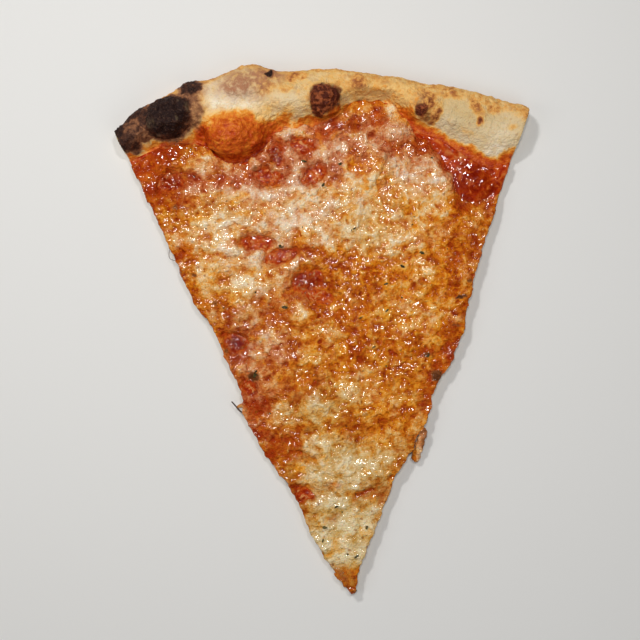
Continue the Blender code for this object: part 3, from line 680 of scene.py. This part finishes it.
dough = {
    "baseTop": 3.9,           # height of the thin base
    "rimInside": 218,         # how far from the tip the rim begins
    "rimOutside": 236,        # and its outer side
    "voxel": 0.62,
    "keepFaces": 0.50,
    "baked": [                # from golden at 0.2 to brown at 0.5; one golden oval is painted light
        (-18, 249, 16, 5, 0.2, 5), (12, 247, 16, 6, 0.24), (30, 247, 22, 4, 0.26, -8),
        (55, 242, 22, 4, 0.3, -14), (80, 234, 20, 4, 0.27, -18), (62, 239.5, 9, 3.5, 0.36, -22),
        (17.5, 246, 5.5, 4.5, 0.4), (45, 238, 12, 8, 0.22), (95, 230, 8, 5, 0.3, -20),
        (-60, 240, 6, 9, 0.3, 10), (-28, 236, 10, 3, 0.18, 20), (-20, 232.5, 8, 2.6, 0.3, 40),
        (3, 231, 10, 4.5, 0.34, 8), (48.3, 234.6, 6.2, 8, 0.52), (73.2, 231.5, 5, 3, 0.38, -55),
        (74.6, 224.3, 1.6, 2.2, 0.46), (54.2, 228.4, 6.2, 1.7, 0.5, 55), (38, 232, 7, 2, 0.36, -60),
        (83, 230, 4, 3, 0.34), (90, 220.3, 2.6, 2, 0.28), (-16.7, 245.4, 4, 2.6, 0.32, 10),
        (-11.5, 251.4, 5.5, 3.2, 0.42), (-24, 253.5, 7, 3.5, 0.4, -5), (-26, 247, 5, 4, 0.34),
        (0.5, 240, 10, 9, 0.3), (-66, 246.5, 9, 3, 0.34, 14), (-79, 246, 7, 2.2, 0.4, 24),
        # the last oval on the next line, at 28 across, is painted light: golden colour that lifts a hollow of
        # the rim lying in shade
        (-72, 225, 11, 3.2, 0.34, 4), (-92, 223, 7, 3, 0.26, -20), (28, 240.5, 17, 4, 0.22, 2),
        (-6, 243, 6, 5, 0.22), (33, 244, 5, 2, 0.3, -20), (70, 219, 5, 1.6, 0.18, -30),
        (100, 222, 3, 12, 0.3, 20), (-46, 232.5, 13, 3, 0.2, -6),
    ],
    "brown": [                # dull pinkish brown
        (-33, 252.5, 6, 2.5, 1, 5), (-29, 247.5, 4, 2.4, 0.9, 30), (-36, 249, 14, 6.5, 1, 8),
        (-25, 252, 9, 4, 0.9, -5), (-44, 255, 9, 2.5, 0.6, 3), (-57, 247, 4, 4, 0.6),
        (-90, 231, 6, 3.5, 0.8, 30), (-30, 244, 6, 4, 0.6, 20), (-41, 245, 6, 3, 0.5),
        (-64, 231, 3, 5, 0.5),
    ],
    "rust": [                 # dark red brown blister skin
        (1.5, 240, 8, 6.6, 1, 8), (0.5, 236, 5.5, 3.6, 1), (47.6, 231.5, 2.9, 2.7, 1),
        (6.5, 243.4, 4, 1.6, 0.9), (50.6, 228, 1.8, 1.4, 0.6, 40), (-24, 253, 2.2, 1.5, 0.8),
    ],
    "char": [                 # burnt
        (-73.7, 235.5, 11, 9.6, 1, 12), (-72, 240.5, 9, 3.2, 0.8, 12), (-62.5, 249, 5.4, 4, 0.75, 10),
        (-100, 230, 5, 5, 0.9), (-94.5, 225.5, 8, 4, 0.6, -30), (-87, 243.5, 4, 1.8, 0.9, 20),
        (-92, 238.4, 10, 3.6, 0.8, 34), (-97.5, 224.5, 4.6, 3, 0.7, -60), (-84, 236, 5, 5, 0.6),
        (-24.5, 253.2, 1.8, 1.3, 0.9), (-86, 228, 6, 3, 0.35, 10), (-90, 232, 8, 5, 0.42, 20),
        (-62, 238, 6, 9, 0.22), (-64, 245, 6, 4, 0.3),
    ],
    "stain": [                # sauce and oil soaked into the dough, and two faint ovals of painted light
        (-42, 221, 20.5, 14, 0.58, -4), (-45, 213.5, 13, 3.6, 0.8, -5), (-57.5, 225.5, 5.5, 6, 0.75, 20),
        (-32, 217.5, 9, 4, 0.85, 35), (-40, 226, 9, 4, 0.45), (-30, 225, 10, 5.5, 0.62, 32),
        (-74, 222.5, 15, 4, 0.55, 5), (-22, 229, 9, 3.8, 0.45, 40), (30, 236, 10, 3.2, 0.4, -10),
        # the first two ovals on the next line, faint at 0.14, are painted light: amber that brightens the
        # same shaded hollow
        (32, 240.5, 18, 5, 0.14, -2), (40, 237, 8, 5, 0.14), (40, 227.5, 7, 5.4, 0.6, -50),
        (51, 219.5, 12, 4.4, 0.62, -28), (64, 212, 13, 4, 0.66, -22), (78, 204.2, 11, 3.8, 0.66, -12),
        (89, 206, 6, 4, 0.6, 20), (-93, 216, 5.5, 5, 0.55, 40), (7, 232.8, 9, 3.2, 0.5, 30),
        (-5, 229.8, 11, 3.2, 0.5, 5),
    ],
    "khaki": [                # duller at the right
        (72, 222, 26, 14, 0.9, -15), (92, 224, 10, 8, 0.8), (-12, 243, 9, 6, 0.4),
    ],
    "flour": [                # pale and dusty
        (-44, 242, 15, 6, 1), (-52, 247, 8, 5, 0.7, 20), (-15, 240, 10, 5, 0.4),
        (83, 210.5, 8, 5, 0.85, 10), (84, 217, 9, 6, 0.45), (70, 216, 9, 5, 0.35, -20),
        (57, 224, 7, 5, 0.35, -20), (92, 226, 6, 5, 0.25), (88, 229, 10, 3, 0.25, -20), (-52, 240, 9, 5, 1),
        (-36, 238, 8, 4, 0.9),
    ],
    "calm": [(76, 218, 26, 12, 1, -15)],          # the skin is smoother here
    "filled": [(33, 239.5, 13, 4.5, 1, -3)],      # a hollow of the solid that is less deep in the photo
    "heights": {              # of each kind of relief, in millimetres: coarse, then fine
        "lumps": (0.40, 0.22), "wrinkles": (0.26, 0.22), "grain": 0.12, "blister": 0.55,
        "peel": 0.42, "crags": (0.85, 0.35), "beads": (0.70, 0.45), "pores": (0.75, 0.14),
    },
}


def doughRelief(spot, normals, char, rust, stain, cut, rim):
    # how far the baked skin stands out from the plain solid
    high = dough["heights"]
    lumps = high["lumps"][0] * ripple(spot, 11.0, 41) + high["lumps"][1] * ripple(spot, 5.0, 42)
    ragged = warped(spot, 4.0, 1.0, 43)
    wrinkle = high["wrinkles"][0] * (1 - 2 * np.abs(ripple(ragged * np.array([0.5, 1, 1]), 2.6, 44)))
    wrinkle += high["wrinkles"][1] * (1 - 2 * np.abs(ripple(ragged, 4.6, 48, 2)))
    grain = high["grain"] * ripple(spot, 1.4, 45, 2)
    distance, number = cells(warped(spot, 3.0, 0.6, 46), 6.5, 47)
    dome = np.sqrt(np.clip(1 - (distance / (0.28 + 0.2 * number)) ** 2, 0, 1))
    blister = dome * (number < 0.30) * high["blister"]
    peel = stain * (high["peel"] * ripple(warped(spot, 2.0, 0.6, 49), 1.9, 50, 2))
    flat = spot * np.array([1, 1, 0])
    calm = 1 - 0.6 * patches(flat, dough["calm"], 0.6)
    skin = rim * (lumps + calm * (wrinkle + grain) + peel + blister * (1 - stain))
    crags = high["crags"][0] * ripple(warped(spot, 2.5, 1.0, 51), 3.0, 52, 3)
    crags += high["crags"][1] * np.abs(ripple(spot, 1.6, 53))
    beads = high["beads"][0] * ripple(spot, 2.0, 54, 2) + high["beads"][1] * ripple(spot, 3.8, 55)
    skin += rim * (char * crags + rust * beads)
    reach, own = cells(spot * np.array([1, 1, 1.35]), 2.1, 56)
    pores = -high["pores"][0] * ease(0.42 - reach, 0, 0.3) * (own < 0.55)
    pores += high["pores"][1] * ripple(spot, 1.6, 57, 2)
    inBand = ease(spot[:, 2], 0.5, 1.2)
    skin += patches(flat, dough["filled"], 0.7)
    return skin * (1 - cut) + cut * inBand * pores


def makeDough():
    piece = solidCopy("dough", "baked_dough")
    voxelSkin(piece, dough["voxel"] * mm)
    mesh = piece.data
    points, normals, spot = surfaceOf(mesh)
    radius, degrees = polar(spot)
    flat = spot * np.array([1, 1, 0.0])
    ragged = warped(flat, 5.0, 0.9, 61)
    ragged = warped(ragged, 1.8, 0.45, 62)
    char, rust = patches(ragged, dough["char"], 0.30), patches(ragged, dough["rust"], 0.16)
    stain, flour = patches(ragged, dough["stain"], 0.45), patches(ragged, dough["flour"], 0.8)
    brown, baked = patches(ragged, dough["brown"], 0.5), patches(ragged, dough["baked"], 0.75)

    fading = ease(spot[:, 2] + 1.5 * ripple(spot, 4.0, 65), 8.5, 1.5)
    outside = radius > dough["rimOutside"]
    char = char * (1 - 0.85 * fading * outside)     # it doesn't reach the foot of the outer side
    turn = np.radians(degrees)
    across = np.abs(normals[:, 0] * np.cos(turn) - normals[:, 1] * np.sin(turn))
    cut = ease(across, 0.55, 0.85) * ease(np.abs(degrees), 14, 19)
    steep = ease(1 - np.abs(normals[:, 2]), 0.5, 0.8)
    cut = np.maximum(cut, steep * (radius < dough["rimInside"]) * (spot[:, 2] < dough["baseTop"]))
    under = ease(-normals[:, 2], 0.6, 0.9) * ease(1.2 - spot[:, 2], 0, 0.8)
    raised = ease(spot[:, 2], dough["baseTop"], 5.2)
    rim = raised + (1 - raised) * outside * (1 - under)
    lift = doughRelief(spot, normals, char, rust, stain, cut, rim)
    points = points + normals * lift[:, None] * mm
    dents = under * np.clip(ripple(flat, 9.0, 63) + 0.5 * ripple(flat, 4.0, 64) - 0.15, 0, 1)
    points[:, 2] += 0.35 * mm * dents * ease(spot[:, 2], -0.5, 0.2)
    points[:, 2] = np.maximum(points[:, 2], 0.0)
    writePoints(mesh, points)

    edge = ease(radius - 240, 6, 13) * (1 - ease(spot[:, 2], 9.5, 12.5))
    foot = ease(spot[:, 2], 7.0, 1.0) * (radius > 238)
    heel = cut * ease(1.5 + 0.5 * ripple(spot, 3.0, 66) - spot[:, 2], 0, 1.0)
    paint(mesh, char=char * (1 - under), rust=rust, stain=stain * (1 - foot), flour=flour, brown=brown,
          khaki=patches(ragged, dough["khaki"], 0.6), cut=cut, under=under, heel=heel,
          baked=np.maximum(baked, np.maximum(0.30 * edge, 0.40 * foot)))
    dress(piece, dough["keepFaces"], doughMaterial())
    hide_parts("dough")
    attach(piece, "root")
    return piece


doughColours = {
    "pale": (0.800, 0.560, 0.270),
    "flour": (0.950, 0.830, 0.630),
    "khaki": (0.640, 0.480, 0.250),
    "tan": (0.740, 0.450, 0.140),
    "brown": (0.450, 0.205, 0.105),
    "rust": (0.085, 0.013, 0.005),
    "rustLight": (0.340, 0.085, 0.026),
    "baked": [(0.06, (0.800, 0.560, 0.270)), (0.20, (0.860, 0.500, 0.145)), (0.34, (0.740, 0.350, 0.085)),
             (0.48, (0.460, 0.160, 0.040)), (0.62, (0.220, 0.055, 0.018)), (0.80, (0.080, 0.024, 0.012))],
    "burn": [(0.0, (0.500, 0.235, 0.095)), (0.30, (0.250, 0.100, 0.045)), (0.55, (0.075, 0.026, 0.014)),
             (0.80, (0.030, 0.010, 0.007)), (1.0, (0.018, 0.006, 0.005))],
    # the palest stop, at 0.10, is both the pale edge of the stains and painted light, bright enough to lift
    # the shaded hollow by the rim
    "stain": [(0.10, (0.930, 0.600, 0.220)), (0.30, (0.860, 0.330, 0.035)), (0.50, (0.700, 0.150, 0.010)),
              (0.72, (0.500, 0.055, 0.004)), (0.95, (0.280, 0.015, 0.002))],
    "ash": (0.170, 0.085, 0.050),
    "crumb": (0.870, 0.710, 0.440),
    "toasted": (0.430, 0.215, 0.080),
    "heel": (0.680, 0.430, 0.190),
    "scorched": (0.160, 0.058, 0.024),
}


def doughMaterial():
    material, graph, shader, spot = newMaterial("baked dough")
    c = doughColours
    broad = graph.noise(spot, 9.0, 3.0, 0.55, 0.4)
    mottle = graph.noise(spot, 2.6, 4.0, 0.62, 0.5)
    small = graph.noise(spot, 0.8, 2.0, 0.6)

    def masked(name, least=0.2):
        return graph.times(graph.attribute(name), graph.span(mottle, 0.30, 0.62, least, 1.0))

    streaks = graph.noise(spot, 5.0, 4.0, 0.6, 1.2)
    base = graph.mix(graph.span(streaks, 0.42, 0.66, 0.0, 0.9), c["pale"], c["tan"])
    base = graph.mix(masked("khaki", least=0.6), base, c["khaki"])
    base = graph.mix(masked("flour", least=0.35), base, c["flour"])
    baked = graph.times(graph.attribute("baked"), graph.span(mottle, 0.25, 0.72, 0.55, 1.45))
    baked = graph.plus(baked, graph.span(broad, 0.52, 0.70, 0.0, 0.10))
    base = graph.mix(graph.span(baked, 0.0, 0.34), base, graph.ramp(baked, c["baked"]))
    base = graph.mix(masked("brown"), base, c["brown"])
    freckles = scattered(graph, spot, 2.0, 0.14, 0.25)
    base = graph.mix(graph.times(freckles, 0.30), base, c["brown"])
    # the soaked colour of the stains; where the mask is faint in the hollow by the rim it is painted light
    soaked = graph.plus(graph.attribute("stain"), graph.swing(streaks, 0.8))
    soaked = graph.plus(soaked, graph.swing(mottle, -0.7))
    base = graph.mix(graph.span(graph.attribute("stain"), 0.02, 0.22), base, graph.ramp(soaked, c["stain"]))
    rust = graph.mix(graph.span(mottle, 0.44, 0.64), c["rust"], c["rustLight"])
    base = graph.mix(graph.attribute("rust"), base, rust)
    burn = graph.plus(graph.attribute("char"), graph.swing(mottle, 1.5))
    burnt = graph.mix(graph.span(small, 0.50, 0.72, 0.0, 0.35), graph.ramp(burn, c["burn"]), c["ash"])
    base = graph.mix(graph.span(graph.attribute("char"), 0.02, 0.25), base, burnt)
    crumb = graph.mix(graph.span(mottle, 0.35, 0.65), c["crumb"], c["pale"])
    holes = scattered(graph, spot, 1.6, 0.35, 0.30)
    crumb = graph.mix(graph.times(holes, 0.55), crumb, c["tan"])
    base = graph.mix(graph.attribute("cut"), base, crumb)
    toasted = graph.mix(graph.span(broad, 0.36, 0.62), c["heel"], c["toasted"])
    toasted = graph.mix(graph.span(streaks, 0.55, 0.72, 0.0, 0.7), toasted, c["scorched"])
    spots = graph.span(graph.noise(spot, 6.0, 3.0, 0.55, 0.3), 0.61, 0.70, 0.0, 0.9)
    toasted = graph.mix(spots, toasted, c["scorched"])
    toasted = graph.mix(graph.span(mottle, 0.56, 0.70, 0.0, 0.45), toasted, c["flour"])
    base = graph.mix(graph.attribute("heel"), base, toasted)
    base = graph.mix(graph.attribute("under"), base, toasted)
    graph.feed(shader.inputs["Base Color"], base)
    graph.feed(shader.inputs["Roughness"], graph.span(graph.attribute("stain"), 0.2, 0.8, 0.72, 0.32))
    setValues(shader, Specular_IOR_Level=0.22, Subsurface_Weight=0.08, Subsurface_Radius=(1.0, 0.5, 0.25),
              Subsurface_Scale=1.2 * mm)
    relief = grains(graph, spot, 1.7, 0.8, 0.8)
    bump(graph, shader, relief, 0.52)
    return material


# The tomato sauce

sauce = {
    "voxel": 0.6,
    "sink": 0.7,              # how far its underside is let down into the dough, out of sight
    "keepFaces": 0.35,
    "well": 0.6,              # how far it wells up in the openings of the cheese
    "dark": [
        (70, 198, 9, 7, 0.8, 25), (66, 187, 6, 4, 0.7, 60), (-75.5, 205, 5, 4, 0.7),
        (-49, 125.5, 5, 4, 0.9), (-12.4, 153.6, 6, 4, 0.7), (-23.6, 215, 4, 4, 0.8),
        (78, 191, 9, 2, 0.8, 40),
    ],
    "lump": [(73.0, 196.5, 4.6, 3.6, 1.2, 20)],   # a piece of tomato in the pool, 1.2 mm high
    "pool": [(72, 194, 13, 13, 1.0)],
}


def makeSauce():
    piece = solidCopy("sauce", "tomato_sauce")
    points = readRows(piece.data.vertices, "co")
    floor = points[:, 2].min()
    points[points[:, 2] < floor + 0.1 * mm, 2] -= sauce["sink"] * mm
    writePoints(piece.data, points)
    voxelSkin(piece, sauce["voxel"] * mm)
    mesh = piece.data
    points, normals, spot = surfaceOf(mesh)
    flat = spot * np.array([1, 1, 0])
    upward = ease(normals[:, 2], 0.2, 0.8)
    wells = 1 - ease(nearestReach(warped(flat, 3.0, 0.5, 78), openings), 0.9, 1.8)
    lump = patches(flat, sauce["lump"], 0.6)
    pool = patches(flat, sauce["pool"], 0.3)
    pulp = 0.42 * ripple(flat, 5.0, 71) + 0.24 * ripple(flat, 2.2, 72, 2)
    clots = wells * (0.35 * ripple(flat, 1.7, 80, 2) + 0.30 * ripple(flat, 3.2, 81))
    points[:, 2] += upward * mm * (sauce["well"] * wells + clots + pulp + lump)
    side = (1 - upward) * (normals[:, 2] > -0.5)
    outward = normals * np.array([1, 1, 0])
    points += outward * (side * (0.25 + 0.25 * ripple(spot, 2.6, 73)))[:, None] * mm
    writePoints(mesh, points)
    stretched = warped(flat, 4.0, 1.5, 75) * np.array([0.4, 1, 1])
    film = ease(1 - 2.2 * np.abs(ripple(stretched, 3.4, 76)), 0.45, 0.9)
    film = film * ease(ripple(flat, 7.0, 77), -0.2, 0.3)
    paint(mesh, well=wells, film=film * (1 - pool) * (1 - wells),
          dark=patches(warped(flat, 3.0, 0.8, 74), sauce["dark"], 0.6))
    dress(piece, sauce["keepFaces"], sauceMaterial())
    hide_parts("sauce")
    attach(piece, "root")
    return piece


sauceColours = {
    "pulp": [(0.28, (0.260, 0.009, 0.001)), (0.42, (0.400, 0.026, 0.002)), (0.56, (0.530, 0.062, 0.004)),
             (0.72, (0.700, 0.200, 0.035))],
    "dark": (0.150, 0.006, 0.001),
    "film": (0.700, 0.260, 0.070),
    "seed": (0.560, 0.110, 0.012),
    "deep": (0.300, 0.018, 0.002),
    "curd": (0.720, 0.330, 0.110),
}


def sauceMaterial():
    material, graph, shader, spot = newMaterial("tomato sauce")
    c = sauceColours
    pulp = graph.noise(spot, 3.2, 4.0, 0.6, 0.8)
    small = graph.noise(spot, 0.9, 2.0, 0.6)
    field = graph.noise(spot, 7.5, 3.0, 0.55, 0.7)
    mottle = graph.noise(spot, 2.4, 4.0, 0.62, 0.6)
    shown = graph.ramp(field, cheeseColours["sauce"])
    shown = graph.mix(graph.span(pulp, 0.40, 0.62, 0.0, 0.6), shown, c["seed"])
    shown = graph.mix(graph.span(mottle, 0.50, 0.40), shown, c["deep"])
    shown = graph.mix(graph.span(mottle, 0.54, 0.64, 0.0, 0.75), shown, c["curd"])
    base = graph.mix(graph.attribute("well"), graph.ramp(pulp, c["pulp"]), shown)
    darker = graph.times(graph.attribute("dark"), graph.span(pulp, 0.7, 0.4, 0.3, 0.9))
    base = graph.mix(darker, base, c["dark"])
    streaks = graph.times(graph.attribute("film"), graph.span(small, 0.3, 0.7, 0.4, 1.0))
    base = graph.mix(streaks, base, c["film"])
    graph.feed(shader.inputs["Base Color"], base)
    graph.feed(shader.inputs["Roughness"], graph.span(small, 0.3, 0.7, 0.24, 0.38))
    setValues(shader, Specular_IOR_Level=0.04, Coat_Weight=0.75, Coat_Roughness=0.06, Coat_IOR=1.42,
              Subsurface_Weight=0.10, Subsurface_Radius=(1.0, 0.2, 0.08), Subsurface_Scale=1.2 * mm)
    relief = grains(graph, spot, 2.4, 0.9, 0.35)
    bump(graph, shader, relief, 0.70)
    bump(graph, shader, graph.noise(spot, 2.0, 2.0, 0.5), 0.05, "Coat Normal")
    return material


# Dried herbs and burnt threads

herbs = {
    "seed": 7,
    "thickness": 0.22,
    "flakes": [               # across, along, turn, length
        (-10.2, 211, 20, 2.6), (7.2, 208.6, -25, 2.2), (-1.7, 199.2, 60, 2.4), (11.4, 177, 15, 2.8),
        (-24.3, 171, 25, 3.2), (43.6, 163.4, 40, 2.4), (34, 157.6, -20, 2.6), (25.4, 149.6, 80, 2.2),
        (25, 136.8, 70, 2.2), (12.5, 134.2, -35, 2.2), (-24, 141.5, 50, 3), (17.6, 119.6, 10, 2),
        (-40.2, 110.4, 0, 3.6), (43.4, 114, 35, 1.9), (-5.2, 44, 50, 2.4), (-11.4, 34.5, 5, 2.4),
        (8.8, 33, 30, 1.9), (-12.8, 28.2, 45, 1.8), (2.9, 19.6, -40, 2.4), (-1.2, 20.6, 20, 1.4),
    ],
    "crumbs": 30,             # tiny specks of the same herbs
    "crumbReach": 226,        # how far from the tip they lie
    "crumbSpread": 0.40,      # and how far to each side, as a share of that
    "colours": [(0.35, (0.070, 0.066, 0.020)), (0.50, (0.034, 0.028, 0.012)), (0.68, (0.150, 0.120, 0.036))],
}


def surfaceUnder(tree, across, along):
    hit = tree.ray_cast(place(across, along, 40.0), Vector((0, 0, -1)))
    return hit[0], hit[1]


def leafFlake(bm, spot, normal, turn, length, rng):
    # a chip of leaf: a small grid, pinched at the ends, cupped and given a thickness
    made = bmesh.ops.create_grid(bm, x_segments=4, y_segments=2, size=0.5)["verts"]
    width = length * rng.uniform(0.40, 0.62)
    cup = rng.uniform(-0.5, 0.5)
    for vert in made:
        u, v = vert.co.x, vert.co.y
        pinch = 1 - 2.6 * u * u + 0.3 * rng.uniform(-1, 1)
        rise = cup * (u * u * 2 - v * v * 2) + 0.12 * rng.uniform(-1, 1)
        vert.co = Vector((u * length, v * width * pinch, rise))
    stand = normal.to_track_quat("Z", "Y").to_matrix().to_4x4()
    move = Matrix.Translation(spot + normal * 0.12 * mm) @ stand @ Matrix.Rotation(math.radians(turn), 4, "Z")
    bmesh.ops.transform(bm, matrix=move @ Matrix.Scale(mm, 4), verts=made)


def makeHerbs(cheesePiece):
    rng = random.Random(herbs["seed"])
    bm = bmesh.new()
    source = bmesh.new()
    source.from_mesh(cheesePiece.data)
    tree = BVHTree.FromBMesh(source)
    for across, along, turn, length in herbs["flakes"]:
        spot, normal = surfaceUnder(tree, across, along)
        leafFlake(bm, spot, normal, turn, length, rng)
    placed = 0
    while placed < herbs["crumbs"]:
        along = herbs["crumbReach"] * math.sqrt(rng.uniform(0.02, 1.0))
        across = rng.uniform(-herbs["crumbSpread"], herbs["crumbSpread"]) * along
        spot, normal = surfaceUnder(tree, across, along)
        if spot is not None:
            leafFlake(bm, spot, normal, rng.uniform(0, 180), rng.uniform(0.5, 1.1), rng)
            placed += 1
    source.free()
    piece = newPiece("herb_flakes", bm)
    wall = piece.modifiers.new("thickness", "SOLIDIFY")
    wall.thickness = herbs["thickness"] * mm
    applyModifiers(piece)
    material, graph, shader, spot = newMaterial("dried herbs")
    graph.feed(shader.inputs["Base Color"], graph.ramp(graph.noise(spot, 3.0, 2.0), herbs["colours"]))
    setValues(shader, Roughness=0.55, Specular_IOR_Level=0.2)
    relief = grains(graph, spot, 0.8, 0.3, 0.5)
    bump(graph, shader, relief, 0.12)
    piece.data.materials.append(material)
    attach(piece, "root")


threads = {                   # the points that each runs through: across, along, height, radius
    "burnt thread": [(-52.6, 97.6, 5.0, 0.30), (-50.8, 95.6, 5.4, 0.34), (-49.4, 93.2, 5.3, 0.36),
                     (-47.6, 91.8, 5.4, 0.42), (-46.2, 91.4, 6.2, 0.30)],
    "dark hair": [(-74.8, 177.0, 4.6, 0.10), (-77.4, 175.4, 4.0, 0.12), (-78.4, 172.0, 3.4, 0.11),
                  (-79.0, 168.9, 3.2, 0.13), (-77.2, 167.6, 3.6, 0.13), (-73.8, 167.4, 4.4, 0.12)],
    "orange nib": [(-46.0, 95.4, 6.0, 1.3), (-48.0, 95.6, 5.7, 1.1), (-49.6, 95.2, 5.2, 0.8),
                   (-50.4, 94.4, 4.9, 0.3)],
}


def makeThread(name, stations, material):
    line = bpy.data.curves.new(name, "CURVE")
    line.dimensions = "3D"
    line.bevel_depth = 1.0 * mm
    line.bevel_resolution = 3
    line.use_fill_caps = True
    spline = line.splines.new("NURBS")
    spline.points.add(len(stations) - 1)
    spline.use_endpoint_u = True
    for point, (across, along, height, radius) in zip(spline.points, stations):
        point.co = (*place(across, along, height), 1.0)
        point.radius = radius
    guide = bpy.data.objects.new(name, line)
    link(guide)
    mesh = bpy.data.meshes.new_from_object(guide.evaluated_get(bpy.context.evaluated_depsgraph_get()))
    bpy.data.objects.remove(guide, do_unlink=True)
    bm = bmesh.new()
    bm.from_mesh(mesh)
    bmesh.ops.remove_doubles(bm, verts=bm.verts, dist=0.01 * mm)
    bmesh.ops.recalc_face_normals(bm, faces=bm.faces)
    piece = newPiece(name.replace(" ", "_"), bm)
    shadeSmooth(piece)
    piece.data.materials.append(material)
    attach(piece, "root")


def threadMaterial(name, dark, light):
    material, graph, shader, spot = newMaterial(name)
    shade = graph.noise(spot, 1.5, 3.0)
    graph.feed(shader.inputs["Base Color"], graph.mix(graph.span(shade, 0.35, 0.65), dark, light))
    setValues(shader, Roughness=0.4)
    relief = grains(graph, spot, 1.0, 0.4, 0.5)
    bump(graph, shader, relief, 0.2)
    return material


# Floor, lights and camera


def makeStage():
    bm = bmesh.new()
    bmesh.ops.create_grid(bm, x_segments=2, y_segments=2, size=2.5)
    bmesh.ops.translate(bm, vec=(0, 0, -0.05 * mm), verts=bm.verts)
    floor = newPiece("floor", bm)
    material, graph, shader, spot = newMaterial("pale floor")
    setValues(shader, Base_Color=(0.80, 0.80, 0.79, 1), Roughness=0.7)
    floor.data.materials.append(material)

    middle = place(*camera["lookAt"])
    for name, (across, along, height, longSide, shortSide, watts, colour) in lights.items():
        lamp = bpy.data.lights.new(name, "AREA")
        lamp.shape = "RECTANGLE"
        lamp.size, lamp.size_y = longSide * mm, shortSide * mm
        lamp.energy = watts
        lamp.color = colour
        holder = bpy.data.objects.new(name, lamp)
        holder.location = place(across, along, height)
        holder.rotation_euler = (middle - holder.location).to_track_quat("-Z", "Y").to_euler()
        holder.visible_glossy = "lamp" in name     # the wide ones only fill the shadows
        link(holder)

    world = bpy.data.worlds.new("soft room")
    world.use_nodes = True
    glow = world.node_tree.nodes["Background"]
    glow.inputs["Color"].default_value = (*surroundings[:3], 1)
    glow.inputs["Strength"].default_value = surroundings[3]
    world.cycles_visibility.glossy = False
    bpy.context.scene.world = world
    bpy.context.scene.view_settings.view_transform = "Standard"


def makeCamera():
    lens = bpy.data.cameras.new("camera")
    lens.sensor_width = 36.0
    lens.lens = 36.0 * camera["height"] / camera["viewWidth"]
    lens.clip_start = 0.01
    holder = bpy.data.objects.new("camera", lens)
    holder.location = place(*camera["lookAt"], camera["height"] + camera["level"])
    holder.rotation_euler = (0, 0, math.radians(camera["turn"]))
    link(holder)
    bpy.context.scene.camera = holder


makeCamera()
makeStage()
print("pizza slice: camera, lights and floor")
doughPiece = makeDough()
print("pizza slice: dough", len(doughPiece.data.polygons))
saucePiece = makeSauce()
print("pizza slice: sauce", len(saucePiece.data.polygons))
cheesePiece = makeCheese()
print("pizza slice: cheese", len(cheesePiece.data.polygons))
makeHerbs(cheesePiece)
burntMaterial = threadMaterial("burnt thread", (0.030, 0.010, 0.006), (0.10, 0.03, 0.012))
makeThread("burnt thread", threads["burnt thread"], burntMaterial)
makeThread("dark hair", threads["dark hair"], burntMaterial)
makeThread("orange nib", threads["orange nib"],
           threadMaterial("orange nib", (0.50, 0.13, 0.02), (0.62, 0.28, 0.07)))
print("pizza slice: herbs and threads")
